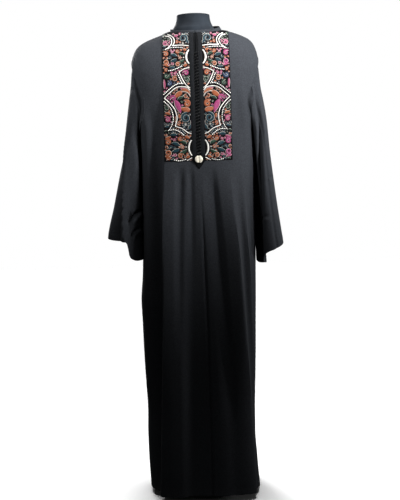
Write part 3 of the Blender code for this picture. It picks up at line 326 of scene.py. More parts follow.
# The direction that a cord's cross section is turned to. No cord follows it exactly
TUBE_LEAN = (0.0, 1.0, 0.001)
CLASP_Z = 1.117
CLASP_RADIUS, CLASP_CORNER = 0.0122, 0.0034
CLASP_THICKNESS, CLASP_PARTING = 0.0050, 0.0003
CLASP_CORNER_STEPS, CLASP_ARC_STEPS, CLASP_RINGS = 10, 40, 9
# The clasp's rim as a share of its thickness, its flat top as a share of its width, and its crown's fullness
CLASP_RIM, CLASP_TOP, CLASP_FULLNESS = 0.45, 0.04, 0.55
PointRow = namedtuple("PointRow", "below half_width")
PLACKET_POINT = [
    PointRow(BIB_BOTTOM_Z - SLIT_END_Z + SEAM_GAP, BAND_OUTER),
    PointRow(-0.002, BAND_OUTER),
    PointRow(0.010, 0.0125),
    PointRow(BIB_BOTTOM_Z - POINT_Z, 0.0008),
]
POINT_ROWS, POINT_COLUMNS = 40, 25

# Pieces that lie on the front, between two of its listed columns. At their edges they have that share of
# their thickness
BAND_EDGE = 0.5
Overlay = namedtuple("Overlay", "name node columns bottom_z thickness slot trim_left trim_right edge")
OVERLAYS = [Overlay(*row) for row in [
    ("ground_left", "bib_left", (0, 6), BIB_BOTTOM_Z, BIB_THICKNESS, "embroidery", 0.0, SEAM_GAP, 1.0),
    ("ground_right", "bib_right", (11, 17), BIB_BOTTOM_Z, BIB_THICKNESS, "embroidery", SEAM_GAP, 0.0, 1.0),
    ("braid_left", "band_left", (6, 7), SLIT_END_Z, BAND_THICKNESS, "braid", 0.0, 0.0, BAND_EDGE),
    ("braid_right", "band_right", (10, 11), SLIT_END_Z, BAND_THICKNESS, "braid", 0.0, 0.0, BAND_EDGE),
]]

# The dress form. Its yoke follows the cloth's own rings, a little inside them
FORM_SIDE_GAP, FORM_DEPTH_GAP, FORM_DROP = 0.0016, 0.0062, 0.0036
FORM_YOKE_LEVELS = (1.530, 1.5265, 1.5215, 1.514, 1.506, 1.495)
FORM_COLUMNS, FORM_FINER = 96, 6
FormLevel = namedtuple("FormLevel", "z side front back")
FORM_NECK = [FormLevel(*row) for row in [
    (1.5790, 0.0530, 0.0490, 0.0470),
    (1.5660, 0.0545, 0.0505, 0.0485),
    (1.5540, 0.0580, 0.0535, 0.0505),
    (1.5440, 0.0630, 0.0580, 0.0530),
    (1.5350, 0.0690, 0.0625, 0.0550),
]]
FORM_TRUNK = [FormLevel(*row) for row in [
    (1.440, 0.1800, 0.119, 0.104),
    (1.400, 0.1790, 0.124, 0.105),
    (1.350, 0.1710, 0.129, 0.104),
    (1.290, 0.1600, 0.133, 0.100),
    (1.240, 0.1500, 0.128, 0.094),
    (1.180, 0.1400, 0.115, 0.087),
    (1.110, 0.1280, 0.101, 0.079),
    (1.050, 0.1220, 0.095, 0.077),
    (0.990, 0.1300, 0.097, 0.085),
    (0.930, 0.1450, 0.103, 0.092),
    (0.870, 0.1560, 0.108, 0.096),
    (0.820, 0.1570, 0.109, 0.096),
    (0.785, 0.1540, 0.107, 0.094),
]]
FORM_ROUNDNESS = 2.2
FORM_DIP_Z, FORM_FRONT_DIP, FORM_BACK_DIP = 1.30, 0.055, 0.040
# The bottom is rounded in to that share of the trunk's size, and the cap's dome to a small flat top
FORM_BOTTOM_Z, FORM_BOTTOM_SHARE, FORM_BOTTOM_RINGS = 0.780, 0.93, 6
CAP_RIM, CAP_DOME, CAP_TOP, CAP_RINGS = 0.0008, 0.0048, 0.02, 14

# The stand: radii and heights of its pole, hub and base, whose corners are rounded
POLE_RADIUS = 0.0125
HUB_RADIUS, HUB_RIM, HUB_TOP_RADIUS, HUB_NECK, HUB_HEIGHT = 0.030, 0.005, 0.018, 0.018, 0.040
BASE_RADIUS, BASE_THICKNESS, BASE_BEVEL = 0.120, 0.012, 0.002
STAND_SIDES, STAND_TOP_RADIUS = 96, 0.010
HUB_ROUNDING, BASE_ROUNDING, ROUNDING_STEPS, ROUNDING_MOST = 0.003, 0.0015, 5, 2.1

# The grid on which the bib's surface is worked out: u is beside the slit
BIB_U = np.linspace(-0.112, 0.112, 225)
BIB_Z = np.linspace(1.095, 1.535, 441)
BIB_LOWEST_LEVEL, BIB_HALVINGS = 1.05, 24
# Places on the grid stay that little inside its last cell
GRID_END = 1.001
# Beads stand with their middles at that share of their radius above the ground
BEAD_RADIUS, BEAD_PITCH, BEAD_SIDES, BEAD_SEAT = 0.0021, 0.0054, 8, 0.7
BEAD_LEANS = np.radians((-20, 15, 45, 70, 89))
# Half widths, heights and sides of the threads, and the steps in which cords and rows of beads are drawn. A
# thread is lower where it is narrower than its widest part divided by the swelling
CORD_HALF, SATIN_RISE = 0.0016, 0.0013
EDGING_HALF, EDGING_RISE = 0.00062, 0.0009
OUTLINE_HALF, OUTLINE_RISE = 0.00060, 0.0006
STRIP_SIDES, EDGE_SIDES, STRIP_SWELLING = 7, 4, 1.5
CORD_STEP, BEAD_STEP = 0.0012, 0.0004

# The embroidery's couched cords and rows of beads, as u beside the slit and height, mirrored on the left
CORD_LINES = [
    [(0.0880, 1.5154), (0.0770, 1.5094), (0.0690, 1.5004), (0.0664, 1.4890), (0.0696, 1.4785),
     (0.0736, 1.4746)],
    [(0.0736, 1.4746), (0.0453, 1.4752), (0.0212, 1.4722)],
    [(0.0960, 1.5110), (0.0840, 1.5070), (0.0768, 1.4990), (0.0744, 1.4890), (0.0775, 1.4785),
     (0.0863, 1.4692), (0.0957, 1.4633)],
    [(0.0210, 1.4030), (0.0380, 1.3990), (0.0540, 1.3900)],
    [(0.0540, 1.3900), (0.0470, 1.3730), (0.0380, 1.3555), (0.0280, 1.3440), (0.0210, 1.3390)],
    [(0.0210, 1.3320), (0.0320, 1.3415), (0.0520, 1.3440), (0.0680, 1.3395), (0.0850, 1.3260),
     (0.1030, 1.3100)],
    [(0.1030, 1.3100), (0.0870, 1.2952), (0.0710, 1.2740), (0.0650, 1.2515), (0.0660, 1.2385),
     (0.0705, 1.2212)],
    [(0.0705, 1.2212), (0.0490, 1.2135), (0.0330, 1.2015), (0.0210, 1.1965)],
    [(0.0210, 1.1225), (0.0370, 1.1138)],
]
BEAD_LINES = [
    [(0.0950, 1.4620), (0.0849, 1.4660), (0.0679, 1.4678), (0.0425, 1.4664)],
    [(0.0585, 1.3830), (0.0535, 1.3710), (0.0480, 1.3590), (0.0435, 1.3525)],
    [(0.0435, 1.3525), (0.0560, 1.3535), (0.0710, 1.3475), (0.0880, 1.3345), (0.1035, 1.3215)],
    [(0.1030, 1.2990), (0.0900, 1.2865), (0.0800, 1.2708), (0.0760, 1.2495), (0.0780, 1.2335),
     (0.0850, 1.2172), (0.0920, 1.2085)],
    [(0.0920, 1.2085), (0.0750, 1.2108), (0.0600, 1.2055), (0.0450, 1.1940)],
    [(0.0420, 1.1175), (0.0500, 1.1145), (0.0640, 1.1138), (0.0760, 1.1165)],
    [(0.0450, 1.4070), (0.0600, 1.4010), (0.0720, 1.3965), (0.0860, 1.3945)],
]

# Motifs of satin stitch, beside the slit at u and at height z. A scroll starts at an angle and winds in, a
# leaf goes from its stem at an angle, and look is a thread, or the left side's and the right's
Scroll = namedtuple("Scroll", "u z radius start turns hand half look tail", defaults=(1.0,))
Leaf = namedtuple("Leaf", "u z length aim bend half look")
Flower = namedtuple("Flower", "u z radius petals look")
MOTIFS = [
    Scroll(0.0380, 1.4975, 0.0150, 200, 1.25, -1, 0.0052, "teal"),
    Leaf(0.0230, 1.4800, 0.0150, 60, -60, 0.0036, "teal"),
    Leaf(0.0535, 1.5080, 0.0180, 345, -50, 0.0046, "rose"),
    Scroll(0.0590, 1.4860, 0.0084, 20, 1.10, 1, 0.0038, "rust"),
    Flower(0.0400, 1.4800, 0.0046, 6, "silver"),
    Scroll(0.0950, 1.4835, 0.0100, 90, 1.20, -1, 0.0042, "rose"),
    Scroll(0.0965, 1.5030, 0.0074, 10, 1.10, 1, 0.0032, "green"),
    Leaf(0.0950, 1.4705, 0.0120, 15, -30, 0.0030, "teal"),
    Scroll(0.0670, 1.3865, 0.0076, 150, 1.10, 1, 0.0036, "rose"),
    Scroll(0.0670, 1.3695, 0.0098, 80, 1.20, -1, 0.0042, "rust"),
    Scroll(0.0935, 1.3790, 0.0112, 200, 1.25, 1, 0.0046, ("green", "blue")),
    Scroll(0.0860, 1.3540, 0.0104, 120, 1.20, 1, 0.0044, ("blue", "green")),
    Leaf(0.1015, 1.3680, 0.0320, 268, 8, 0.0036, "rose"),
    Scroll(0.0330, 1.3865, 0.0108, 60, 1.20, 1, 0.0046, ("magenta", "rust")),
    Scroll(0.0310, 1.3665, 0.0092, 240, 1.15, -1, 0.0040, "green"),
    Leaf(0.0215, 1.3520, 0.0100, 350, -40, 0.0028, "rust"),
    Leaf(0.0215, 1.3215, 0.0330, 26, -66, 0.0080, "rust"),
    Leaf(0.0450, 1.3290, 0.0340, 325, -10, 0.0078, "rust"),
    Leaf(0.0330, 1.3370, 0.0210, 2, -40, 0.0036, "rose"),
    Leaf(0.0440, 1.3110, 0.0200, 335, -50, 0.0040, "green"),
    Scroll(0.0740, 1.3080, 0.0124, 30, 0.95, 1, 0.0062, "magenta"),
    Leaf(0.0700, 1.3030, 0.0460, 246, 18, 0.0088, "magenta"),
    Leaf(0.0215, 1.3080, 0.0500, 24, -150, 0.0019, "silver"),
    Scroll(0.0325, 1.2905, 0.0138, 100, 1.25, 1, 0.0064, "rust"),
    Leaf(0.0205, 1.2690, 0.0350, 12, 6, 0.0082, "rust"),
    Scroll(0.0370, 1.2470, 0.0168, 60, 1.35, -1, 0.0066, "teal"),
    Leaf(0.0225, 1.2400, 0.0330, 284, 56, 0.0078, "teal"),
    Scroll(0.0440, 1.2195, 0.0078, 90, 1.10, 1, 0.0034, "teal"),
    Leaf(0.0585, 1.2600, 0.0160, 262, 16, 0.0044, "rust"),
    Scroll(0.0580, 1.2310, 0.0086, 300, 1.10, 1, 0.0040, "rust"),
    Flower(0.0385, 1.2265, 0.0046, 5, "silver"),
    Scroll(0.0945, 1.2790, 0.0096, 160, 1.20, -1, 0.0042, "green"),
    Leaf(0.0850, 1.2580, 0.0200, 16, -50, 0.0044, "rust"),
    Scroll(0.0945, 1.2430, 0.0108, 90, 1.25, 1, 0.0046, "rose"),
    Leaf(0.0890, 1.2230, 0.0170, 350, 30, 0.0036, "teal"),
    Leaf(0.0960, 1.2100, 0.0120, 330, 30, 0.0030, "green"),
    Scroll(0.0940, 1.3990, 0.0090, 200, 1.15, 1, 0.0040, "rust"),
    Scroll(0.0930, 1.1200, 0.0072, 20, 1.10, 1, 0.0032, ("rust", "green")),
]
# The rosette's motifs on one side of its middle line: z is the distance from that line
ROSETTE = [
    Leaf(0.0270, 0.0270, 0.0220, 22, -30, 0.0050, "rust"),
    Scroll(0.0570, 0.0275, 0.0096, 250, 1.20, 1, 0.0042, "rust"),
    Leaf(0.0660, 0.0390, 0.0230, 2, -24, 0.0048, "teal"),
    Leaf(0.0370, 0.0085, 0.0260, 24, -56, 0.0046, "green"),
    Scroll(0.0730, 0.0240, 0.0062, 0, 1.10, 1, 0.0026, "rose"),
    Leaf(0.0600, 0.0060, 0.0250, 18, -30, 0.0058, "teal"),
    Scroll(0.0950, 0.0175, 0.0118, 90, 1.25, 1, 0.0050, ("rust", "magenta")),
    Leaf(0.0850, 0.0345, 0.0200, 346, 20, 0.0038, ("rust", "rose")),
]
ROSETTE_MIDDLE = [Flower(0.0500, 0.0, 0.0075, 5, "rust"), Flower(0.0390, 0.0, 0.0034, 4, "silver")]
# Each rosette's white arc and its motifs' middle line, and how far they are drawn together and shrunk
Rosette = namedtuple("Rosette", "arc_z arc_height z stretch size")
ROSETTES = [Rosette(1.4367, 0.0222, 1.4350, 0.76, 0.88), Rosette(1.1530, 0.0242, 1.1560, 0.98, 1.0)]
ARC_REACH, ARC_SWEEP, ARC_HALF = 0.0305, math.radians(46), 0.0030
ARC_POINTS, ARC_TAPER, ARC_RISE = 24, 1.5, 0.7
# Ground inside the arc that is kept bare, as spots in a row
BARE_SPOTS, BARE_SHARE, BARE_REACH, BARE_RADIUS = 9, 0.8, 0.75, 0.006
# Bare ground is filled between these bounds with leaves and scrolls, no smaller than the least half width
FILL_U, FILL_Z, FILL_STEP = (0.0215, 0.1050), (1.1135, 1.5145), 0.0014
FILL_GAP, FILL_LEAST, FILL_SCROLL, FILL_MOST = 0.0010, 0.0015, 0.0042, 110
FILL_EDGE, FILL_WIDEST, FILL_LONGEST = 0.0020, 0.0085, 4.2
# The filling's scrolls start at another angle each time, and its leaves bend to either side in turn
FILL_TURN, FILL_TURNS, FILL_HALF, FILL_TAIL, FILL_BEND = 70, 0.85, 0.46, 0.7, 40
# A filling leaf tries aims that many degrees apart. It looks ahead by the one share of its half width and
# needs the other as room there
FILL_AIM_STEP, FILL_AHEAD, FILL_NARROWEST = 15, 0.5, 0.75
# Shapes stay inside these edges of the bib and that far from the cords, end where they are narrower, and
# have at least that many points
BIB_LEFT, BIB_RIGHT, CORD_BORDER, LEAST_HALF, LEAST_POINTS = 0.0208, 0.1050, 0.0019, 0.0005, 4
# A scroll's points, how far it winds in and narrows, and its tail's bow and taper
SCROLL_SLIMNESS, SCROLL_POINTS, SCROLL_LEAST_POINTS = 0.66, 26, 14
SCROLL_WINDING, SCROLL_TAPER = 0.74, 0.40
TAIL_POINTS, TAIL_BOW, TAIL_TAPER = 8, 0.35, 0.6
LEAF_STEPS, LEAF_TIP, LEAF_FULLNESS = 13, 0.02, 0.8
# Petals start that far from their flower's middle, whose bead is drawn along a very short line
PETAL_START, PETAL_HALF = 0.0012, 0.30
FLOWER_BEAD, FLOWER_BEAD_SPREAD = 0.0011, 0.0001

CAMERA_PLACE = Vector((0.0, -3.0, 1.145))
CAMERA_TILT, CAMERA_ROLL = math.radians(6.3), math.radians(1.7)
PHOTO_HEIGHT_PX, CAMERA_FOCAL_PX, SENSOR_MM = 500, 903.6, 36.0

# Spot lamps, whose light fades towards the rim of their cones: a key from the upper right, a fill from the
# left, a low one along the skirt and one from behind. A soft light from above is for floor and shoulders
Lamp = namedtuple("Lamp", "name place aim cone radius power")
LAMPS = [
    Lamp("key", (1.90, -1.25, 2.15), (0.04, 0.0, 1.70), 49, 0.25, 590.0),
    Lamp("fill", (-1.50, -1.60, 1.95), (-0.10, 0.0, 1.70), 41, 0.45, 245.0),
    Lamp("side", (2.80, -0.22, 0.70), (0.12, 0.0, 0.68), 34, 0.30, 135.0),
    Lamp("back", (-0.90, 2.00, 2.20), (0.0, 0.0, 1.35), 80, 0.45, 260.0),
]
SUN_STRENGTH, SUN_ANGLE, SUN_LEAN = 3.6, math.radians(28), (0.02, 0.10, 1.0)
AMBIENT, WHITE = 0.048, (1.0, 1.0, 1.0, 1.0)
FLOOR_HALF, FLOOR_COLOUR = 6.0, (0.93, 0.93, 0.93)
DISPLAY_GAMMA = 0.85

# Looks: edges with a sharper angle are creased, a noise mixes two tones between these heights, and thread
# keeps that share of its colour between its ridges, as painted shade in the grooves between stitches
SHARP_ANGLE = math.radians(50)
CLOUD_EDGES = (0.35, 0.65)
THREAD_PAINTED_SHADE = 0.62
# The scale of a cloth's threads as a share of its grain's, the slant of braid and of twisted cords in
# degrees, and the scale of the ridges on embroidery thread
THREAD_GRAIN, BRAID_SLANT, TWIST_SLANT = 0.6, 40, 40
TWIST_RIDGES, SATIN_RIDGES = 180.0, 420.0


def unit(vectors):
    """Vectors scaled to length 1, along the last axis."""
    return vectors / np.maximum(np.linalg.norm(vectors, axis=-1, keepdims=True), 1e-12)


def smooth_step(share):
    """0 below 0, 1 above 1, and a soft rise between."""
    share = np.clip(share, 0.0, 1.0)
    return share * share * (3 - 2 * share)


def soft_rise(value, start, end):
    """0 before start, 1 beyond end, and a soft rise between."""
    return smooth_step((value - start) / (end - start))


def lengths(line):
    """How far each point of a line lies along it, or each row of a grid along its columns."""
    steps = np.linalg.norm(np.diff(line, axis=0), axis=-1)
    return np.concatenate([0 * steps[:1], np.cumsum(steps, axis=0)])


def along_line(at, length, line):
    """The points of a line at those lengths."""
    return np.stack([np.interp(at, length, part) for part in line.T], -1)


def whole_turn(count):
    """Evenly spaced angles once round a circle."""
    return 2 * math.pi * np.arange(count) / count


def squarer(angle, roundness):
    """Cosine and sine on a rounded square: 2 is a circle, and more has flatter sides."""
    return (np.sign(v) * np.abs(v) ** (2 / roundness) for v in (np.cos(angle), np.sin(angle)))


def degrees_past(angle, line):
    """How far an angle in radians is past a line in degrees, from -180 to 180 degrees."""
    return (np.degrees(angle) - line + 180) % 360 - 180


def lines_through(points, axis, closed):
    """The direction of the lines of points along an axis, at each point."""
    if closed:
        return np.roll(points, -1, axis=axis) - np.roll(points, 1, axis=axis)
    return np.gradient(points, axis=axis)


def quads(rows, columns, closed=False, looped=False):
    """The quads of a grid of points. closed joins its last column to the first, and looped its last row."""
    down, across = np.arange(rows if looped else rows - 1), np.arange(columns if closed else columns - 1)
    r, c = np.meshgrid(down, across, indexing="ij")
    here, below, beside = r * columns, (r + 1) % rows * columns, (c + 1) % columns
    return np.stack([here + c, here + beside, below + beside, below + c], -1).reshape(-1, 4)


def smooth_curve(knots, values, at):
    """A smooth curve through the values at rising knots, which never overshoots between them."""
    knots, values, at = (np.asarray(v, float) for v in (knots, values, at))
    step = np.diff(knots)
    slope = np.diff(values) / step
    tangent = np.zeros_like(values)
    same_way = slope[:-1] * slope[1:] > 0
    both = np.where(same_way, slope[:-1] + slope[1:], 1.0)
    tangent[1:-1] = np.where(same_way, 2 * slope[:-1] * slope[1:] / both, 0.0)
    tangent[0], tangent[-1] = slope[0], slope[-1]
    k = np.clip(np.searchsorted(knots, at, side="right") - 1, 0, len(knots) - 2)
    t = np.clip((at - knots[k]) / step[k], 0.0, 1.0)
    return (
        (2 * t**3 - 3 * t**2 + 1) * values[k]
        + (t**3 - 2 * t**2 + t) * step[k] * tangent[k]
        + (3 * t**2 - 2 * t**3) * values[k + 1]
        + (t**3 - t**2) * step[k] * tangent[k + 1]
    )


def column_of(table, name):
    """One named column of a table."""
    return np.array([getattr(row, name) for row in table])


def at_level(name, level):
    """A size of the body cloth's ring whose side stands at that height."""
    rows = LEVELS[::-1]
    return smooth_curve(column_of(rows, "side_z"), column_of(rows, name), level)


def fold_shape(distance, left, right, crisp):
    """A fold's cross section, 1 on its line and 0 at its half widths."""
    half = np.where(distance < 0, left, right)
    share = np.clip(np.abs(distance) / half, 0.0, 1.0)
    soft = np.cos(share * math.pi / 2) ** 2
    sharp = 1 - np.sin(share * math.pi / 2)
    return (1 - crisp) * soft + crisp * sharp


def fold_depth(x, level, face):
    """How far the folds move the cloth outwards there."""
    moved = np.zeros(np.broadcast(x, level).shape)
    for fold in FRONT_FOLDS if face == FRONT else BACK_FOLDS:
        along = np.clip((fold.start_z - level) / (fold.start_z - fold.end_z), 0.0, 1.0)
        bend = 2 * fold.x_start - 4 * fold.x_middle + 2 * fold.x_end
        lean = -3 * fold.x_start + 4 * fold.x_middle - fold.x_end
        line = fold.x_start + lean * along + bend * along**2
        height = fold.depth * smooth_step(along / fold.grow)
        if fold.fade:
            height = height * smooth_step((1 - along) / fold.fade)
        moved = moved + height * fold_shape(x - line, fold.left, fold.right, fold.crisp)
    return moved


def side_of(x, level):
    """The half width of the ring on the side where x is."""
    return np.where(x < 0, at_level("left", level), at_level("right", level))


def body_surface(x, level, face):
    """Points of the cloth's outer side at those x, on the rings whose sides stand at those levels."""
    x, level = np.broadcast_arrays(np.asarray(x, float), np.asarray(level, float))
    side, power = side_of(x, level), at_level("round", level)
    depth = at_level("front_y" if face == FRONT else "back_y", level)
    middle = at_level("front_z" if face == FRONT else "back_z", level)
    share = np.clip(np.abs(x) / side, 0.0, 1.0)
    reach = (1 - share**power) ** (1 / power)
    out = unit(np.stack([np.sign(x) * share ** (power - 1) / side, face * reach ** (power - 1) / depth], -1))
    moved = fold_depth(x, level, face) * (1 - share**FOLD_SIDE_POWER)
    depth = depth * reach
    if face == FRONT:
        rise, fall = soft_rise(level, *CORNER_TOP_Z), soft_rise(level, *CORNER_LOW_Z)
        beside = np.clip((share - CORNER_START) / (1 - CORNER_START), 0, 1) * (x < 0)
        depth = depth + CORNER_DEPTH * rise * fall * np.sin(math.pi * beside**CORNER_POWER)
    y = face * (SEAM_GAP / 2 + depth) + out[..., 1] * moved
    return np.stack([x + out[..., 0] * moved, y, level + (middle - level) * reach], axis=-1)


def body_normals(x, level, face):
    """Unit normals of the cloth's outer side, from points a little to the sides and up and down."""
    share = x / side_of(x, level)
    across = []
    upward = []
    for step in (-1, 1):
        beside = np.clip(share + NORMAL_STEP_SHARE * step, -1, 1)
        across.append(body_surface(beside * side_of(beside, level), level, face))
        higher = np.clip(level + NORMAL_STEP_Z * step, HEM_Z, NECK_Z)
        upward.append(body_surface(share * side_of(share, higher), higher, face))
    return unit(-face * np.cross(across[1] - across[0], upward[1] - upward[0]))


def ridge_level(x):
    """The level whose ring is as wide as x, on the shoulder. Nearer the middle it is the neckline's."""
    levels = np.linspace(NECK_Z, SHOULDER_TIP_Z, RIDGE_STEPS)
    return float(np.interp(abs(x), side_of(x, levels), levels))


def yoke_column(x_top, x_low, bow, face):
    """x and level of a column from the shoulder or the neckline down to the underarm, evenly spaced."""
    share = np.linspace(0, 1, COLUMN_STEPS) ** COLUMN_CROWDING
    inset = column_of(ARMHOLE, "front" if face == FRONT else "back")
    x = x_top + (x_low - x_top) * share
    x = x - np.sign(x_top) * bow * smooth_curve(column_of(ARMHOLE, "share"), inset, share)
    level = ridge_level(x_top)
    level = level + (UNDERARM_Z - level) * share
    length = lengths(body_surface(x, level, face))
    wanted = np.linspace(0, length[-1], YOKE_ROWS + 1)
    return np.interp(wanted, length, x), np.interp(wanted, length, level)


def column_line(column, level):
    """x of a column of the grid at that level, at or below the underarm."""
    knots = (HEM_Z, MIDDLE_Z, BIB_BOTTOM_Z)
    return smooth_curve(knots, (column.x_hem, column.x_middle, SLIT_X + column.beside_slit), level)


def side_columns(first, end, levels, face):
    """x and level of the columns between the outermost listed column and the armhole and side seam."""
    tip, low = end * side_of(end, SHOULDER_TIP_Z), end * side_of(end, UNDERARM_Z)
    armhole_x, armhole_level = yoke_column(tip, low, 1.0, face)
    beside_x, beside_level = yoke_column(first.x_top, SLIT_X + first.beside_slit, 0.0, face)
    beside_drop = (beside_level[0] - beside_level) / (beside_level[0] - UNDERARM_Z)
    armhole_drop = (armhole_level[0] - armhole_level) / (armhole_level[0] - UNDERARM_Z)
    edge = end * side_of(end, levels)
    inner = column_line(first, levels)
    crowding = smooth_step(np.linspace(-CROWDING_START, 1, YOKE_ROWS + 1))
    lines = []
    for k in range(1, SIDE_COLUMNS + 1):
        even = k / SIDE_COLUMNS
        crowded = math.sin(math.pi / 2 * even)
        share = even + (crowded - even) * crowding
        x = beside_x + (armhole_x - beside_x) * share
        drop = beside_drop + (armhole_drop - beside_drop) * share
        top = ridge_level(x[0])
        level = top + (UNDERARM_Z - top) * drop
        lower = inner + (edge - inner) * crowded
        lines.append((np.concatenate([x, lower[1:]]), np.concatenate([level, levels[1:]])))
    return lines


def finer_columns(columns, times):
    """The listed columns with evenly spaced ones between them."""
    rows = np.array(columns)
    wanted = np.linspace(0, len(rows) - 1, (len(rows) - 1) * times + 1)
    at = np.arange(len(rows))
    return [Column(*values) for values in np.stack([np.interp(wanted, at, c) for c in rows.T], -1)]


def panel_grid(columns, levels, face):
    """x and level of the panel's points: rows from the top edge down, columns from left to right."""
    middle = []
    for column in columns:
        x, level = yoke_column(column.x_top, SLIT_X + column.beside_slit, 0.0, face)
        lower = column_line(column, levels)
        middle.append((np.concatenate([x, lower[1:]]), np.concatenate([level, levels[1:]])))
    left = side_columns(columns[0], -1, levels, face)
    right = side_columns(columns[-1], 1, levels, face)
    return np.stack(left[::-1] + middle + right, axis=2)


def row_levels():
    """The levels of the front's rows from the underarm to the hem, with the ends of slit, bib and point."""
    stops = (UNDERARM_Z, SLIT_END_Z, BIB_BOTTOM_Z, POINT_Z, HEM_Z)
    counts = (*UPPER_ROWS, FRONT_LOWER_ROWS - sum(UPPER_ROWS))
    parts = [np.linspace(a, b, n + 1)[1:] for a, b, n in zip(stops, stops[1:], counts)]
    return np.concatenate([[UNDERARM_Z], *parts])


def rows_down_to(z):
    """The number of the front's rows from its top edge down to that height."""
    return YOKE_ROWS + int(np.searchsorted(-row_levels(), -z))


def sleeve_size(table, name, z):
    """A size of the sleeve's section at those heights."""
    rows = table[::-1]
    return smooth_curve(column_of(rows, "z"), column_of(rows, name), z)


def sleeve_reach(table, angle, z):
    """How far the sleeve's section reaches forwards or backwards, whichever side the angle is on."""
    return np.where(np.sin(angle) > 0, sleeve_size(table, "front", z), sleeve_size(table, "back", z))


def crease_depth(crease, angle, z, reach):
    """How far a crease moves the sleeve outwards at those angles and heights."""
    across = np.radians(degrees_past(angle, crease.angle_a)) * reach
    up = z - crease.z_a
    whole_across = math.radians(crease.angle_b - crease.angle_a) * float(np.mean(reach))
    whole_up = crease.z_b - crease.z_a
    length = math.hypot(whole_across, whole_up)
    along = (across * whole_across + up * whole_up) / length**2
    beside = (up * whole_across - across * whole_up) / length
    beside = beside + crease.half * (2 * along - 1) ** 2 * CREASE_BOW
    ends = smooth_step((np.minimum(along, 1 - along) + CREASE_BEYOND) * CREASE_END_SLOPE)
    pressed = fold_shape(beside, crease.half, crease.half * CREASE_UPPER, CREASE_CRISP)
    below = beside + crease.half * RIDGE_BELOW
    ridge = fold_shape(below, crease.half * RIDGE_LOWER, crease.half, RIDGE_CRISP)
    return crease.depth * ends * (RIDGE_SHARE * ridge - pressed)


def sleeve_section(table, angle, z, end):
    """Points of the sleeve's outer side at those angles and heights. end is -1 for the left sleeve."""
    inner, outer = sleeve_size(table, "inner", z), sleeve_size(table, "outer", z)
    cosine, sine = squarer(angle, SLEEVE_ROUNDNESS)
    x = (inner + outer) / 2 + (outer - inner) / 2 * cosine
    return np.stack([end * x, -sleeve_reach(table, angle, z) * sine, z], axis=-1)


def sleeve_relief(shape, angle, z):
    """How far the folds and creases move the sleeve outwards at those angles and heights."""
    table = shape.sections
    moved = np.zeros(len(angle))
    low_z = table[-1].z
    for fold in shape.folds:
        stops = (low_z, (low_z + fold.start_z) / 2, fold.start_z)
        line = smooth_curve(stops, (fold.angle_low, fold.angle_middle, fold.angle_top), z)
        height = fold.depth * soft_rise(z, fold.start_z, fold.grown_z)
        moved += height * fold_shape(degrees_past(angle, line), fold.before, fold.after, fold.crisp)
    width = sleeve_size(table, "outer", z) - sleeve_size(table, "inner", z)
    for crease in shape.creases:
        moved += crease_depth(crease, angle, z, (sleeve_reach(table, angle, z) + width / 2) / 2)
    return moved


def armhole(front, back, end):
    """The armhole's edge from the shoulder tip down the front and up the back, its normals, and beyond."""
    column = 0 if end < 0 else -1
    edge, out = (
        np.concatenate([ahead[: YOKE_ROWS + 1, column], behind[YOKE_ROWS - 1 : 0 : -1, column]])
        for ahead, behind in zip(front, back)
    )
    return edge, out, unit(np.cross(lines_through(edge, 0, closed=True), out)) * -end


def clear_of_body(points, end):
    """The sleeve's points, moved out to the side where the body cloth is too near."""
    x, y, z = np.moveaxis(points, -1, 0)
    level = np.clip(z, HEM_Z, SLEEVE_CLEAR_Z)
    depth = np.where(y < 0, at_level("front_y", level), at_level("back_y", level))
    power = at_level("round", level)
    body = side_of(end, level) * (1 - np.clip(np.abs(y) / depth, 0, 1) ** power) ** (1 / power)
    points[..., 0] = np.where(z < SLEEVE_CLEAR_Z, end * np.maximum(end * x, body + SLEEVE_GAP), x)
    return points


def make_node(tree, kind, settings=(), **inputs):
    """A shader node with those settings and input values. A value that is a socket is linked."""
    made = tree.nodes.new(kind)
    for name, value in dict(settings).items():
        setattr(made, name, value)
    for name, value in inputs.items():
        socket = made.inputs[int(name[1:])] if name[1:].isdigit() else made.inputs[name.replace("_", " ")]
        if isinstance(value, bpy.types.NodeSocket):
            tree.links.new(value, socket)
        else:
            socket.default_value = value
    return made


def principled(name, colour, roughness, **inputs):
    """A new material, its node tree and its shader."""
    made = bpy.data.materials.new(name)
    made.use_nodes = True
    shader = made.node_tree.nodes["Principled BSDF"]
    shader.inputs["Base Color"].default_value = (*colour, 1.0)
    shader.inputs["Roughness"].default_value = roughness
    for key, value in inputs.items():
        shader.inputs[key.replace("_", " ")].default_value = value
    return made, made.node_tree, shader


def colour_by(tree, shader, height, dark, light, low=0.0, high=1.0):
    """Colours the shader between two tones: dark up to the low height, and light from the high one."""
    ramp = make_node(tree, "ShaderNodeValToRGB", Fac=height)
    for stop, tone, position in zip(ramp.color_ramp.elements, (dark, light), (low, high)):
        stop.position = position
        stop.color = (*tone, 1.0)
    tree.links.new(ramp.outputs["Color"], shader.inputs["Base Color"])


def noise(tree, vector, scale, detail):
    """The height of a cloudy noise."""
    return make_node(tree, "ShaderNodeTexNoise", Vector=vector, Scale=scale, Detail=detail).outputs["Fac"]


def two_tone(tree, shader, dark, light, vector, scale, detail):
    """Colours the shader between two tones by a noise, and returns the noise."""
    cloud = noise(tree, vector, scale, detail)
    colour_by(tree, shader, cloud, dark, light, *CLOUD_EDGES)
    return cloud


def bump(tree, shader, height, strength, distance):
    """Gives the shader that relief."""
    made = make_node(tree, "ShaderNodeBump", Height=height, Strength=strength, Distance=distance)
    tree.links.new(made.outputs["Normal"], shader.inputs["Normal"])


def turned_place(tree, vector, rotation):
    """A vector turned by those angles in degrees."""
    turns = tuple(math.radians(angle) for angle in rotation)
    return make_node(tree, "ShaderNodeMapping", Vector=vector, Rotation=turns).outputs[0]


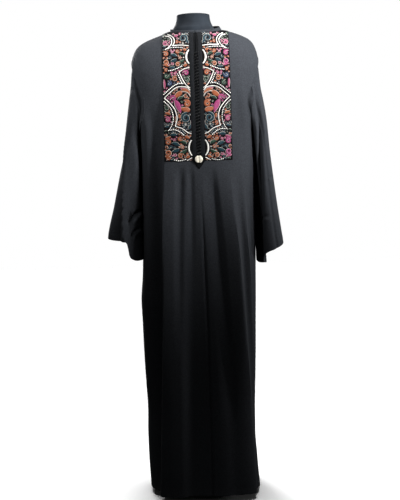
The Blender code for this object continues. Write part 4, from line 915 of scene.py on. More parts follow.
def stripes(tree, vector, scale, direction, distortion):
    """A wave of parallel ridges along one axis of the vector."""
    settings = {"wave_type": "BANDS", "bands_direction": direction, "wave_profile": "SIN"}
    wave = make_node(tree, "ShaderNodeTexWave", settings, Vector=vector, Scale=scale, Distortion=distortion)
    return wave.outputs["Fac"]


def times(tree, height, factor):
    """A height times a factor."""
    return make_node(tree, "ShaderNodeMath", {"operation": "MULTIPLY"}, _0=height, _1=factor).outputs[0]


def add(tree, height, other, share):
    """A height with a share of another."""
    other = times(tree, other, share)
    return make_node(tree, "ShaderNodeMath", {"operation": "ADD"}, _0=height, _1=other).outputs[0]


def object_place(tree):
    """The place on the object, in metres."""
    return make_node(tree, "ShaderNodeTexCoord").outputs["Object"]


def woven(name, dark, light, roughness, grain, relief, sheen):
    """Matt black cloth: the fine pebble of crepe, with threads that cross, and a soft sheen."""
    made, tree, shader = principled(
        name, light, roughness, Sheen_Weight=sheen, Sheen_Roughness=0.45, Specular_IOR_Level=0.10
    )
    place = object_place(tree)
    two_tone(tree, shader, dark, light, place, scale=260.0, detail=8.0)
    warp, weft = (stripes(tree, place, grain * THREAD_GRAIN, axis, distortion=1.5) for axis in "XZ")
    pebble = noise(tree, place, scale=grain, detail=2.0)
    cloth = add(tree, pebble, add(tree, warp, weft, share=0.5), share=0.3)
    bump(tree, shader, cloth, strength=relief, distance=0.0004)
    return made


def knitted(name, dark, light):
    """Fine stretch jersey: rows of small loops, upright ribs, and a soft sheen."""
    made, tree, shader = principled(name, light, 0.8, Sheen_Weight=0.05, Specular_IOR_Level=0.10)
    place = object_place(tree)
    two_tone(tree, shader, dark, light, place, scale=18.0, detail=4.0)
    ribs = stripes(tree, place, 260.0, "X", distortion=0.4)
    rows = stripes(tree, place, 340.0, "Z", distortion=0.4)
    bump(tree, shader, add(tree, ribs, rows, share=0.6), strength=0.25, distance=0.0004)
    return made


def braided(name, dark, light, roughness=0.6, gloss=0.06):
    """Black silk braid: fine slanting cords across each other, with painted shade between them."""
    made, tree, shader = principled(name, light, roughness, Sheen_Weight=0.01, Specular_IOR_Level=gloss)
    place = object_place(tree)
    slanted = (turned_place(tree, place, (0, slant, 0)) for slant in (BRAID_SLANT, -BRAID_SLANT))
    one, other = (stripes(tree, vector, 230.0, "X", distortion=0.3) for vector in slanted)
    ribs = add(tree, one, other, share=1.0)
    # Painted shade: the colour is darker where the ribs are low, in the grooves between the cords
    colour_by(tree, shader, times(tree, ribs, 0.5), dark, light)
    bump(tree, shader, ribs, strength=0.5, distance=0.0003)
    return made


def pearly(name):
    """Cream pearl: cloudy bands under a clear coat."""
    made, tree, shader = principled(name, (0.80, 0.76, 0.66), 0.25, Coat_Weight=0.6, Coat_Roughness=0.12)
    place = object_place(tree)
    cloud = two_tone(tree, shader, (0.70, 0.64, 0.52), (0.84, 0.81, 0.73), place, scale=160.0, detail=3.0)
    bump(tree, shader, cloud, strength=0.06, distance=0.0003)
    return made


def lacquered(name):
    """Black powder-coated metal with a fine grain."""
    made, tree, shader = principled(name, (0.020, 0.020, 0.022), 0.4, Metallic=0.6)
    place = object_place(tree)
    dark, light = (0.014, 0.014, 0.015), (0.030, 0.030, 0.032)
    cloud = two_tone(tree, shader, dark, light, place, scale=40.0, detail=6.0)
    grain = noise(tree, place, scale=1500.0, detail=1.0)
    bump(tree, shader, add(tree, grain, cloud, share=0.2), strength=0.15, distance=0.0002)
    return made


def thread(name, colour, twist=False):
    """Embroidery thread. The stitches run across a shape, or twist round a cord."""
    made, tree, shader = principled(name, colour, 0.5, Sheen_Weight=0.08, Specular_IOR_Level=0.25)
    place = make_node(tree, "ShaderNodeUVMap", {"uv_map": "thread"}).outputs["UV"]
    if twist:
        place = turned_place(tree, place, (0, 0, TWIST_SLANT))
    ridges = stripes(tree, place, TWIST_RIDGES if twist else SATIN_RIDGES, "Y", distortion=0.6)
    # Painted shade: the thread is darker between its ridges, in the grooves between stitches
    colour_by(tree, shader, ridges, tuple(THREAD_PAINTED_SHADE * v for v in colour), colour)
    bump(tree, shader, ridges, strength=0.5, distance=0.0003)
    return made


def linked(name, data):
    """A new object in the scene."""
    thing = bpy.data.objects.new(name, data)
    bpy.context.scene.collection.objects.link(thing)
    return thing


def declare(thing, nodes):
    """Sets a piece to ride on the one body, and hides the nodes that it stands for."""
    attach(thing, "root")
    if nodes:
        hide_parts(*nodes)


def add_piece(name, points, faces, looks, slot, nodes=(), uv=None, look_of_face=None):
    """Links a mesh as a piece of the garment or its stand."""
    mesh = bpy.data.meshes.new(name)
    mesh.from_pydata(np.asarray(points).tolist(), [], np.asarray(faces).tolist())
    for look in looks:
        mesh.materials.append(look)
    if look_of_face is not None:
        mesh.polygons.foreach_set("material_index", look_of_face)
    if uv is not None:
        corner = np.empty(len(mesh.loops), int)
        mesh.loops.foreach_get("vertex_index", corner)
        mesh.uv_layers.new(name="thread").uv.foreach_set("vector", uv[corner].ravel().astype(np.float32))
    mesh.shade_smooth()
    mesh.set_sharp_from_angle(angle=SHARP_ANGLE)
    thing = linked(name, mesh)
    declare(thing, nodes)
    return thing


def wall_faces(outer, inner, closed, left_open):
    """The quads of a closed wall between two grids. left_open marks the cells that have no wall."""
    rows, columns = outer.shape[:2]
    count = rows * columns
    side = quads(rows, columns, closed)[:, [0, 3, 2, 1]]
    if left_open is not None:
        side = side[~left_open.ravel()]
    start, end = side.ravel(), np.roll(side, -1, axis=1).ravel()
    rim = ~np.isin(start * count + end, end * count + start)
    start, end = start[rim], end[rim]
    faces = np.concatenate(
        [side, side[:, ::-1] + count, np.stack([end, start, start + count, end + count], 1)]
    )
    flat = outer.reshape(-1, 3)
    first = side[len(side) // 2]
    normal = np.cross(flat[first[2]] - flat[first[0]], flat[first[3]] - flat[first[1]])
    outward = flat[first[0]] - inner.reshape(-1, 3)[first[0]]
    return faces if normal @ outward > 0 else faces[:, ::-1]


def cloth_wall(name, outer, inner, look, slot, node, closed=False, left_open=None):
    """A closed wall of cloth. The area that its own threads measure is worked out but not used."""
    faces = wall_faces(outer, inner, closed, left_open)
    used, faces = np.unique(faces, return_inverse=True)
    points = np.concatenate([outer.reshape(-1, 3), inner.reshape(-1, 3)])[used]
    thing = add_piece(name, points, faces.reshape(-1, 4), [look], slot, [node])
    ring = np.concatenate([outer, outer[:, :1]], axis=1) if closed else outer
    one, other = ring[1:, 1:] - ring[:-1, :-1], ring[1:, :-1] - ring[:-1, 1:]
    area = np.linalg.norm(np.cross(one, other), axis=2) / 2
    if left_open is not None:
        area = area * ~left_open
    return thing


def grid_normals(grid, closed):
    """Unit normals of a grid of points, from the lines through each point."""
    return unit(np.cross(lines_through(grid, 0, closed=False), lines_through(grid, 1, closed)))


def hemmed(outer, normals):
    """A grid of cloth with a slightly thicker hem along its last row, and the row where the hem starts."""
    height = np.linalg.norm(np.diff(outer, axis=0), axis=2).mean(axis=1)[::-1].cumsum()
    ledge = len(outer) - 1 - int(np.searchsorted(height, HEM_HEIGHT))
    outer = outer.copy()
    outer[ledge + 1 :] += normals[ledge + 1 :] * HEM_THICKER
    return outer, ledge - 1


def stitches(name, path, out, look, closed=False):
    """A row of small raised stitches along a path on the cloth."""
    if closed:
        path, out = (np.concatenate([line, line[:1]]) for line in (path, out))
    length = lengths(path)
    middle = np.arange(STITCH_PITCH / 2, length[-1] - STITCH_PITCH / 2, STITCH_PITCH)
    at = middle[:, None] + STITCH_PLACES * STITCH_LENGTH
    line, up = (along_line(at, length, row) for row in (path, out))
    up = unit(up)
    beside = np.cross(unit(line[:, -1:] - line[:, :1]), up)
    cosine, sine = np.cos(STITCH_TURNS)[:, None], np.sin(STITCH_TURNS)[:, None]
    ring = beside[:, :, None] * cosine + up[:, :, None] * sine
    points = line[:, :, None] + ring * (STITCH_WIDTHS * STITCH_HALF)[None, :, None, None]
    one = quads(len(STITCH_PLACES), len(STITCH_TURNS), closed=True)
    starts = np.arange(len(middle)) * len(STITCH_PLACES) * len(STITCH_TURNS)
    add_piece(name, points.reshape(-1, 3), (one + starts[:, None, None]).reshape(-1, 4), [look], "crepe")


def paint_knot_shade(thing, braid):
    """Gives the cloth between the two bands the dark look of braid, as painted shade under the knots."""
    panel = thing.data
    panel.materials.append(braid)
    centres = np.empty(len(panel.polygons) * 3)
    panel.polygons.foreach_get("center", centres)
    x, _, z = centres.reshape(-1, 3).T
    # These faces lie under the knots and get the dark braid look: painted shade
    bound = (np.abs(x - SLIT_X) < BAND_INNER) & (z > SLIT_END_Z)
    panel.polygons.foreach_set("material_index", bound.astype(np.int32))


def body_panels(crepe, braid):
    """Front and back. Returns each one's outer points and normals."""
    made = []
    for name, face, columns in (
        ("front", FRONT, finer_columns(FRONT_COLUMNS, FINER)),
        ("back", BACK, finer_columns(BACK_COLUMNS, BACK_FINER)),
    ):
        x, level = panel_grid(columns, row_levels(), face)
        outer, out = body_surface(x, level, face), body_normals(x, level, face)
        made.append((outer, out))
        inner = outer - out * CLOTH
        inner[..., 1] = face * np.maximum(face * inner[..., 1], SEAM_GAP / 2)
        outer, ledge = hemmed(outer, out)
        slit = None
        if face == FRONT:
            slit = np.zeros((outer.shape[0] - 1, outer.shape[1] - 1), bool)
            slit[: rows_down_to(SLIT_END_Z), SLIT_FIRST : SLIT_FIRST + FINER] = True
        thing = cloth_wall(f"cloth_{name}", outer, inner, crepe, "crepe", name, left_open=slit)
        if face == FRONT:
            paint_knot_shade(thing, braid)
        stitches(f"stitches_{name}", outer[ledge], out[ledge], crepe)
    return made


def tube(path, radius, sides, closed):
    """The points and quads of a round cord along a path."""
    along = unit(lines_through(path, 0, closed))
    up = unit(np.cross(along, TUBE_LEAN))
    side = np.cross(along, up)
    turn = whole_turn(sides)
    ring = up[:, None] * np.cos(turn)[:, None] + side[:, None] * np.sin(turn)[:, None]
    points = path[:, None] + radius * ring
    return points.reshape(-1, 3), quads(len(path), sides, closed=True, looped=closed)


def sleeve(shape, front, back, crepe):
    """A set-in sleeve from the armhole's edge to the cuff."""
    name, end = shape.name, shape.end
    edge, out, beyond = armhole(front, back, end)
    angle = whole_turn(len(edge))
    cuff_z = smooth_curve(column_of(shape.cuff, "angle"), column_of(shape.cuff, "z"), np.degrees(angle))
    low = (1 - np.cos(angle)) / 2
    seat = soft_rise(low, UNDERARM_SHARE, 1)[:, None]
    start = edge + beyond * (1 - seat) * SLEEVE_SEAM_BEYOND + out * (SLEEVE_SEAM_OUT + seat * UNDERARM_OUT)
    blend_share = BLEND_AT_TOP + (BLEND_AT_UNDERARM - BLEND_AT_TOP) * low**2
    rows = [start]
    for m in range(1, SLEEVE_ROWS + 1):
        share = (m / SLEEVE_ROWS) ** SLEEVE_FLARE_POWER
        z = start[:, 2] + (cuff_z - start[:, 2]) * share
        weight = (1 - (1 - np.clip(share / blend_share, 0, 1)) ** 2)[:, None]
        point = start * (1 - weight) + sleeve_section(shape.sections, angle, z, end) * weight
        moved = sleeve_relief(shape, angle, z) * smooth_step(share / RELIEF_SHARE)
        point[:, 0] += end * moved * np.cos(angle)
        point[:, 1] -= moved * np.sin(angle)
        point[:, 2] = z
        rows.append(clear_of_body(point, end))
    outer = np.stack(rows)
    normals = grid_normals(outer, closed=True) * -end
    hollow = np.sin(math.pi * np.clip(lengths(outer) / GROOVE_WIDTH, 0, 1) ** GROOVE_POWER)
    ahead = GROOVE_BEHIND + (1 - GROOVE_BEHIND) * smooth_step(np.sin(angle) * 2)
    fade = soft_rise(start[:, 2], *GROOVE_FADE_Z)
    outer = outer - normals * (GROOVE_DEPTH * hollow * fade * ahead)[..., None]
    outer, ledge = hemmed(outer, normals)
    normals = grid_normals(outer, closed=True) * -end
    inner = outer - normals * CLOTH
    cloth_wall(f"cloth_{name}", outer, inner, crepe, "crepe", name, closed=True)
    points, faces = tube((edge + start) / 2 - out * SEAM_CORD / 2, SEAM_CORD, SEAM_SIDES, closed=True)
    add_piece(f"seam_{name}", points, faces, [crepe], "crepe")
    stitches(f"stitches_{name}", outer[ledge], normals[ledge], crepe, closed=True)


def neckband(front, back, crepe):
    """A narrow band round the neckline, open at the slit, with a rounded top."""
    neck_columns = (len(BACK_COLUMNS) - 1) * BACK_FINER
    base = np.concatenate(
        [
            front[0, SLIT_FIRST + FINER : SIDE_COLUMNS + RIGHT_NECK_COLUMN * FINER + 1],
            back[0, SIDE_COLUMNS + 1 : SIDE_COLUMNS + neck_columns][::-1],
            front[0, SIDE_COLUMNS + LEFT_NECK_COLUMN * FINER : SLIT_FIRST + 1],
        ]
    )
    along = np.gradient(base, axis=0)
    out = unit(np.stack([-along[:, 1], along[:, 0], np.zeros(len(base))], -1)) * -1
    degrees = np.degrees(np.arctan2(-base[:, 1], base[:, 0])) % 360
    angles = column_of(NECKBAND, "angle")
    height, lean = (smooth_curve(angles, column_of(NECKBAND, name), degrees) for name in ("height", "lean"))
    outer, inner = [], []
    for share in np.sin(np.linspace(math.pi / 2, 0, NECKBAND_ROWS + 1)):
        middle = base + out * (lean * share - NECKBAND_INSET - NECKBAND_THICKNESS / 2)[:, None]
        middle[:, 2] += NECKBAND_SEAT + height * share
        rounding = max(0.0, (share - NECKBAND_ROUND_FROM) / (1 - NECKBAND_ROUND_FROM))
        half = NECKBAND_THICKNESS / 2 * math.sqrt(1 - NECKBAND_ROUNDING * rounding**2)
        outer.append(middle + out * half)
        inner.append(middle - out * half)
    cloth_wall("collar", np.stack(outer), np.stack(inner), crepe, "crepe", "neckband")


def make_floor():
    """A pale floor that throws no light on the object."""
    mesh = bpy.data.meshes.new("floor")
    corners = [(x * FLOOR_HALF, y * FLOOR_HALF, 0) for x, y in ((-1, -1), (1, -1), (1, 1), (-1, 1))]
    mesh.from_pydata(corners, [], [(0, 1, 2, 3)])
    mesh.materials.append(principled("floor", FLOOR_COLOUR, roughness=0.9)[0])
    floor = linked("floor", mesh)
    floor.visible_diffuse = False
    floor.visible_glossy = False


def make_world():
    """A white backdrop for the camera, and a weak soft light for everything else."""
    world = bpy.data.worlds.new("studio")
    world.use_nodes = True
    tree = world.node_tree
    soft = tree.nodes["Background"]
    soft.inputs["Strength"].default_value = AMBIENT
    soft.inputs["Color"].default_value = WHITE
    white = make_node(tree, "ShaderNodeBackground", Color=WHITE, Strength=1.0)
    seen = make_node(tree, "ShaderNodeLightPath").outputs["Is Camera Ray"]
    both = make_node(tree, "ShaderNodeMixShader", _0=seen, _1=soft.outputs[0], _2=white.outputs[0])
    tree.links.new(both.outputs[0], tree.nodes["World Output"].inputs["Surface"])
    bpy.context.scene.world = world


def make_lamps():
    """The soft light from above and the spot lamps."""
    sun = bpy.data.lights.new("top", "SUN")
    sun.energy = SUN_STRENGTH
    sun.angle = SUN_ANGLE
    linked("top", sun).rotation_euler = Vector(SUN_LEAN).to_track_quat("Z", "Y").to_euler()
    for row in LAMPS:
        light = bpy.data.lights.new(row.name, "SPOT")
        light.spot_size = math.radians(row.cone)
        light.spot_blend = 1.0
        light.shadow_soft_size = row.radius
        light.energy = row.power
        lamp = linked(row.name, light)
        lamp.location = row.place
        lamp.rotation_euler = (Vector(row.aim) - Vector(row.place)).to_track_quat("-Z", "Y").to_euler()


def make_camera():
    """The camera at the photograph's place, a little tilted down and rolled."""
    camera = bpy.data.cameras.new("camera")
    camera.sensor_width = SENSOR_MM
    camera.lens = SENSOR_MM * CAMERA_FOCAL_PX / PHOTO_HEIGHT_PX
    forward = Vector((0, math.cos(CAMERA_TILT), -math.sin(CAMERA_TILT)))
    right = Vector((1, 0, 0))
    up = right.cross(forward)
    rolled_right = right * math.cos(CAMERA_ROLL) - up * math.sin(CAMERA_ROLL)
    rolled_up = up * math.cos(CAMERA_ROLL) + right * math.sin(CAMERA_ROLL)
    axes = Matrix((rolled_right, rolled_up, -forward)).transposed().to_4x4()
    bpy.context.scene.camera = linked("camera", camera)
    bpy.context.scene.camera.matrix_world = Matrix.Translation(CAMERA_PLACE) @ axes


def bib_table():
    """The front's outer points and normals over the bib, at even steps of u beside the slit and of z."""
    u, z = np.meshgrid(BIB_U, BIB_Z, indexing="ij")
    low = np.full(u.shape, BIB_LOWEST_LEVEL)
    high = np.array([ridge_level(SLIT_X + v) for v in BIB_U])[:, None] + 0 * z
    for _ in range(BIB_HALVINGS):
        middle = (low + high) / 2
        above = body_surface(SLIT_X + u, middle, FRONT)[..., 2] > z
        low, high = np.where(above, low, middle), np.where(above, middle, high)
    return body_surface(SLIT_X + u, low, FRONT), body_normals(SLIT_X + u, low, FRONT)


def on_bib(u, z, height):
    """Points that far out of the front panel, at those places beside the slit and heights."""
    across = np.clip((u - BIB_U[0]) / (BIB_U[1] - BIB_U[0]), 0, len(BIB_U) - GRID_END)
    up = np.clip((z - BIB_Z[0]) / (BIB_Z[1] - BIB_Z[0]), 0, len(BIB_Z) - GRID_END)
    i, j = across.astype(int), up.astype(int)
    a, b = (across - i)[..., None], (up - j)[..., None]
    point, out = (
        (1 - b) * ((1 - a) * table[i, j] + a * table[i + 1, j])
        + b * ((1 - a) * table[i, j + 1] + a * table[i + 1, j + 1])
        for table in BIB
    )
    return point + unit(out) * np.asarray(height)[..., None]


def smooth_line(points, step):
    """A smooth line through a few points, with a point about every step."""
    points = np.array(points, float)
    padded = np.concatenate([2 * points[:1] - points[1:2], points, 2 * points[-1:] - points[-2:-1]])
    line = []
    for p0, p1, p2, p3 in zip(padded, padded[1:], padded[2:], padded[3:]):
        count = max(2, round(float(np.linalg.norm(p2 - p1)) / step))
        t = np.arange(count)[:, None] / count
        bend = (p0 - 2.5 * p1 + 2 * p2 - p3 / 2) * t**2
        line.append(p1 + (p2 - p0) / 2 * t + bend + (1.5 * (p1 - p2) + (p3 - p0) / 2) * t**3)
    return np.concatenate([*line, points[-1:]])


def beside_path(path):
    """Unit vectors to the left of a flat path."""
    along = unit(np.gradient(path, axis=0))
    return np.stack([-along[:, 1], along[:, 0]], -1)


def towards(degrees):
    """The unit vector at that angle."""
    return np.array([math.cos(math.radians(degrees)), math.sin(math.radians(degrees))])


def room_left(spots, covered):
    """How far each spot is from what is sewn already."""
    room = np.full(len(spots), np.inf, np.float32)
    for block in np.array_split(covered.astype(np.float32), max(1, len(covered) // 100)):
        du, dz = spots[:, :1] - block[:, 0], spots[:, 1:] - block[:, 1]
        room = np.minimum(room, (np.sqrt(du * du + dz * dz) - block[:, 2]).min(axis=1))
    return room


def edge_room(spots, left, right):
    """How far each spot is inside those two sides of the bib and above its lower edge."""
    return np.minimum(np.minimum(spots[:, 0] - left, right - spots[:, 0]), spots[:, 1] - FILL_Z[0])


class Sewing:
    """Gathers one side's stitches as one mesh. Its own side is end: -1 is the left, where u is mirrored."""

    def __init__(self, end):
        self.end = end
        self.points, self.faces, self.uvs, self.looks = [], [], [], []
        self.count = 0
        self.names = []
        self.covered = []
        self.kept_clear = []
        self.places = []

    def add(self, points, faces, uv, look):
        """Adds a mesh of quads in that look."""
        if look not in self.names:
            self.names.append(look)
        self.points.append(points)
        self.faces.append((faces if self.end > 0 else faces[:, ::-1]) + self.count)
        self.uvs.append(uv)
        self.looks += [self.names.index(look)] * len(faces)
        self.count += len(points)

    def strip(self, path, half, rise, look, sides):
        """A raised strip of thread along a flat path, as high as rise on its middle line."""
        half = np.broadcast_to(np.asarray(half, float), len(path))
        self.covered.append(np.column_stack([path, half]))
        turn = np.linspace(math.pi, 0, sides)
        flat = path[:, None] + beside_path(path)[:, None] * (half[:, None] * np.cos(turn))[..., None]
        crown = np.minimum(1, half / max(half.max(), 1e-9) * STRIP_SWELLING)
        height = GROUND_TOP + rise * crown[:, None] * np.sin(turn)
        grid = on_bib(self.end * flat[..., 0], flat[..., 1], height)
        uv = np.stack([half[:, None] * np.cos(turn), lengths(path)[:, None] + 0 * turn], -1)
        self.add(grid.reshape(-1, 3), quads(len(path), sides), uv.reshape(-1, 2), look)

    def cord(self, points):
        """A white couched cord through those points."""
        self.strip(smooth_line(points, CORD_STEP), CORD_HALF, CORD_HALF, "cord", STRIP_SIDES)
        self.kept_clear.append(self.covered[-1])

    def beads(self, points, radius, kept_clear=True):
        """A row of white beads along a line through those points."""
        path = smooth_line(points, BEAD_STEP)
        length = lengths(path)
        at = np.linspace(0, length[-1], max(2, round(length[-1] / BEAD_PITCH)) + 1)
        u, z = along_line(at, length, path).T
        self.covered.append(np.column_stack([u, z, np.full(len(at), radius)]))
        if kept_clear:
            self.kept_clear.append(self.covered[-1])
        centres = on_bib(self.end * u, z, np.full(len(at), GROUND_TOP + radius * BEAD_SEAT))
        turn, lean = np.meshgrid(whole_turn(BEAD_SIDES), BEAD_LEANS)
        ball = np.stack([np.cos(turn) * np.cos(lean), -np.sin(lean), np.sin(turn) * np.cos(lean)], -1)
        ball = radius * ball.reshape(-1, 3)
        faces = quads(len(BEAD_LEANS), BEAD_SIDES, closed=True)
        for centre in centres:
            self.add(ball + centre, faces, np.zeros((len(ball), 2)), "bead")

    def trimmed(self, path, half):
        """The longest stretch of a shape inside the bib and clear of the cords, made narrower if need be."""
        room = room_left(path, np.concatenate(self.kept_clear)) - CORD_BORDER
        half = np.minimum(half, np.minimum(room, edge_room(path, BIB_LEFT, BIB_RIGHT)))
        runs = np.split(np.arange(len(path)), np.nonzero(np.diff(half > LEAST_HALF))[0] + 1)
        run = max(runs, key=lambda run: len(run) if half[run[0]] > LEAST_HALF else 0)
        return path[run], half[run]

    def satin(self, path, half, look):
        """A satin-stitched shape round a path, with a thin pale cord on one edge and a maroon one opposite.

        It always lists three shapes as covered ground, empty ones if the shape has no room.
        """
        path, half = self.trimmed(path, half)
        if len(path) < LEAST_POINTS or max(half[0], half[-1]) < LEAST_HALF:
            self.covered += [np.zeros((1, 3))] * 3
            return
        if look != "silver":
            self.places.append((*path.mean(axis=0), look))
        beside = beside_path(path) * half[:, None]
        self.strip(path, half, SATIN_RISE, look, STRIP_SIDES)
        self.strip(path + beside, EDGING_HALF, EDGING_RISE, "edging", EDGE_SIDES)
        self.strip(path - beside, OUTLINE_HALF, OUTLINE_RISE, "maroon", EDGE_SIDES)

    def scroll(self, at, flip):
        """A spiral of satin stitch that narrows inwards, with a tail that leads into it."""
        share = np.linspace(0, 1, max(SCROLL_LEAST_POINTS, round(SCROLL_POINTS * at.turns)))
        turn = math.radians(at.start) + at.hand * 2 * math.pi * at.turns * share
        widest = at.half * SCROLL_SLIMNESS
        reach = (at.radius - widest) * (1 - SCROLL_WINDING * share)
        path = np.stack([at.u + reach * np.cos(turn), at.z + flip * reach * np.sin(turn)], -1)
        half = widest * (1 - SCROLL_TAPER * share)
        away = unit(path[0] - path[1])
        beyond = np.linspace(1, 0, TAIL_POINTS + 1)[:-1, None]
        outward = unit(path[0] - (at.u, at.z))
        tail = path[0] + at.radius * at.tail * (away * beyond - outward * TAIL_BOW * beyond**2)
        path = np.concatenate([tail, path])
        half = np.concatenate([half[0] * (1 - beyond[:, 0]) ** TAIL_TAPER, half])
        self.satin(path, half, self.colour(at.look))

    def leaf(self, at, flip):
        """A leaf of satin stitch, from its stem along its aim, bent on the way."""
        share = np.linspace(0, 1, LEAF_STEPS + 1)
        turn = np.radians(at.aim + at.bend * (share - 0.5))
        steps = np.stack([np.cos(turn), flip * np.sin(turn)], -1) * (at.length / LEAF_STEPS)
        path = np.array([at.u, at.z]) + np.concatenate([[[0, 0]], np.cumsum(steps[1:], axis=0)])
        within = np.clip(share, LEAF_TIP, 1 - LEAF_TIP)
        half = at.half * np.sin(math.pi * within**LEAF_FULLNESS) ** LEAF_FULLNESS
        self.satin(path, half, self.colour(at.look))

    def flower(self, at):
        """Short petals round a bead."""
        for k in range(at.petals):
            aim = 360 * k / at.petals + 90
            stem = np.array([at.u, at.z]) + PETAL_START * towards(aim)
            self.leaf(Leaf(*stem, at.radius - PETAL_START, aim, 0, at.radius * PETAL_HALF, at.look), 1)
        self.beads([(at.u, at.z), (at.u + FLOWER_BEAD_SPREAD, at.z)], FLOWER_BEAD, kept_clear=False)

    def sew(self, motif, flip=1):
        """Sews one motif. flip is -1 below a rosette's middle line."""
        if isinstance(motif, Flower):
            self.flower(motif)
        elif isinstance(motif, Leaf):
            self.leaf(motif, flip)
        else:
            self.scroll(motif, flip)

    def colour(self, look):
        """A look, or the one of this side where the two sides differ."""
        if isinstance(look, str):
            return look
        return look[0] if self.end < 0 else look[1]

    def make(self, name):
        """Makes a piece of the gathered mesh."""
        add_piece(
            name,
            np.concatenate(self.points),
            np.concatenate(self.faces),
            [THREADS[look] for look in self.names],
            "embroidery",
            uv=np.concatenate(self.uvs),
            look_of_face=self.looks,
        )


def resized(motif, size):
    """A motif with all its own sizes changed by that share."""
    names = [name for name in ("radius", "length", "half") if hasattr(motif, name)]
    return motif._replace(**{name: getattr(motif, name) * size for name in names})


def rosette(sewing, at):
    """The group of scrolls and leaves that repeats above and below its own middle line."""
    turn = np.linspace(-1, 1, ARC_POINTS) * ARC_SWEEP
    z = at.arc_z + at.arc_height / math.sin(ARC_SWEEP) * np.sin(turn)
    arc = np.stack([ARC_REACH * np.cos(turn), z], -1)
    half = ARC_HALF * np.cos(turn * ARC_TAPER) ** 0.5
    sewing.strip(arc, half, ARC_HALF * ARC_RISE, "cord", STRIP_SIDES)
    sewing.kept_clear.append(sewing.covered[-1])
    bare = at.arc_z + np.linspace(-BARE_SHARE, BARE_SHARE, BARE_SPOTS) * at.arc_height
    sewing.covered.append(np.array([(ARC_REACH * BARE_REACH, z, BARE_RADIUS) for z in bare]))
    for motif in ROSETTE:
        for flip in (-1, 1):
            sewing.sew(resized(motif, at.size)._replace(z=at.z + flip * motif.z * at.stretch), flip)
    for motif in ROSETTE_MIDDLE:
        sewing.sew(resized(motif, at.size)._replace(z=at.z))


def longest_leaf(room, spots, shape, best, free):
    """The direction in degrees in which a leaf on that spot can be longest, and its half length."""
    choices = []
    for aim in range(0, 180, FILL_AIM_STEP):
        reach = free
        while reach < FILL_LONGEST * free:
            ends = spots[best] + np.outer((-1, 1), towards(aim) * (reach + FILL_AHEAD * free))
            cell = np.clip(np.round((ends - spots[0]) / FILL_STEP).astype(int), 0, np.array(shape) - 1)
            if (room.reshape(shape)[cell[:, 0], cell[:, 1]] < FILL_NARROWEST * free).any():
                break
            reach += FILL_STEP / 2
        choices.append((reach, aim))
    return max(choices)


def fill_ground(sewing):
    """Sews small leaves and scrolls where the ground is bare, the roomiest spot first, and lists them."""
    u, z = np.arange(*FILL_U, FILL_STEP), np.arange(*FILL_Z, FILL_STEP)
    spots = np.stack(np.meshgrid(u, z, indexing="ij"), -1).reshape(-1, 2).astype(np.float32)
    room = room_left(spots, np.concatenate(sewing.covered))
    room = np.minimum(room, edge_room(spots, *FILL_U) + FILL_EDGE)
    places = np.array([place[:2] for place in sewing.places])
    looks = [place[2] for place in sewing.places]
    sewn = []
    while len(sewn) < FILL_MOST:
        best = int(np.argmax(room))
        free = float(room[best]) - FILL_GAP
        if free < FILL_LEAST:
            break
        look = looks[np.hypot(*(places - spots[best]).T).argmin()]
        number = len(sewn)
        hand = 1 - 2 * (number % 2)
        if free > FILL_SCROLL:
            radius = min(free, FILL_WIDEST)
            start, half = FILL_TURN * number, radius * FILL_HALF
            motif = Scroll(*spots[best], radius, start, FILL_TURNS, hand, half, look, FILL_TAIL)
        else:
            reach, aim = longest_leaf(room, spots, (len(u), len(z)), best, free)
            stem = spots[best] - reach * towards(aim)
            motif = Leaf(*stem, 2 * reach, aim, FILL_BEND * hand, free, look)
        sewing.sew(motif)
        sewn.append(motif)
        room = np.minimum(room, room_left(spots, sewing.covered[-3]))
    return sewn


def embroidery():
    """Cords, beads and satin stitch on both sides of the placket."""
    filling = None
    for end, side in ((-1, "left"), (1, "right")):
        sewing = Sewing(end)
        for line in CORD_LINES:
            sewing.cord(line)
        for line in BEAD_LINES:
            sewing.beads(line, BEAD_RADIUS)
        for at in ROSETTES:
            rosette(sewing, at)
        for motif in MOTIFS:
            sewing.sew(motif)
        if filling is None:
            filling = fill_ground(sewing)
        else:
            for motif in filling:
                sewing.sew(motif)
        sewing.make(f"embroidery_{side}")


def crowned(across, edge):
    """The thickness across a flat piece, as a share of its middle's. edge is the share at its two edges."""
    return (edge + (1 - edge) * (1 - across**4))[None, :, None]


def overlay(front, at, look):
    """A piece that lies on the front: the panel's own points, moved out."""
    left, right = (SIDE_COLUMNS + column * FINER for column in at.columns)
    cut = np.s_[: rows_down_to(at.bottom_z) + 1, left : right + 1]
    grid, out = front[0][cut], front[1][cut]
    crown = crowned(np.linspace(-1, 1, grid.shape[1]), at.edge)
    under, over = grid + out * LIFT, grid + out * (LIFT + at.thickness * crown)
    for layer in (under, over):
        layer[:, 0] += unit(layer[:, 1] - layer[:, 0]) * at.trim_left
        layer[:, -1] += unit(layer[:, -2] - layer[:, -1]) * at.trim_right
    cloth_wall(at.name, over, under, look, at.slot, at.node)


def placket(front, ground, band, braid):
    """The embroidery's two grounds, the two bands beside the opening, and the point below them."""
    for at in OVERLAYS:
        overlay(front, at, ground if at.slot == "embroidery" else band)
    across = np.linspace(-1, 1, POINT_COLUMNS)
    below = np.linspace(PLACKET_POINT[0].below, PLACKET_POINT[-1].below, POINT_ROWS)
    half = smooth_curve(column_of(PLACKET_POINT, "below"), column_of(PLACKET_POINT, "half_width"), below)
    grid = body_surface(SLIT_X + half[:, None] * across, (BIB_BOTTOM_Z - below)[:, None], FRONT)
    out = grid_normals(grid, closed=False)
    over = grid + out * (2 * LIFT + BAND_THICKNESS * crowned(across, BAND_EDGE))
    under = grid + out * 2 * LIFT
    cloth_wall("braid_point", over, under, braid, "braid", "placket_point")


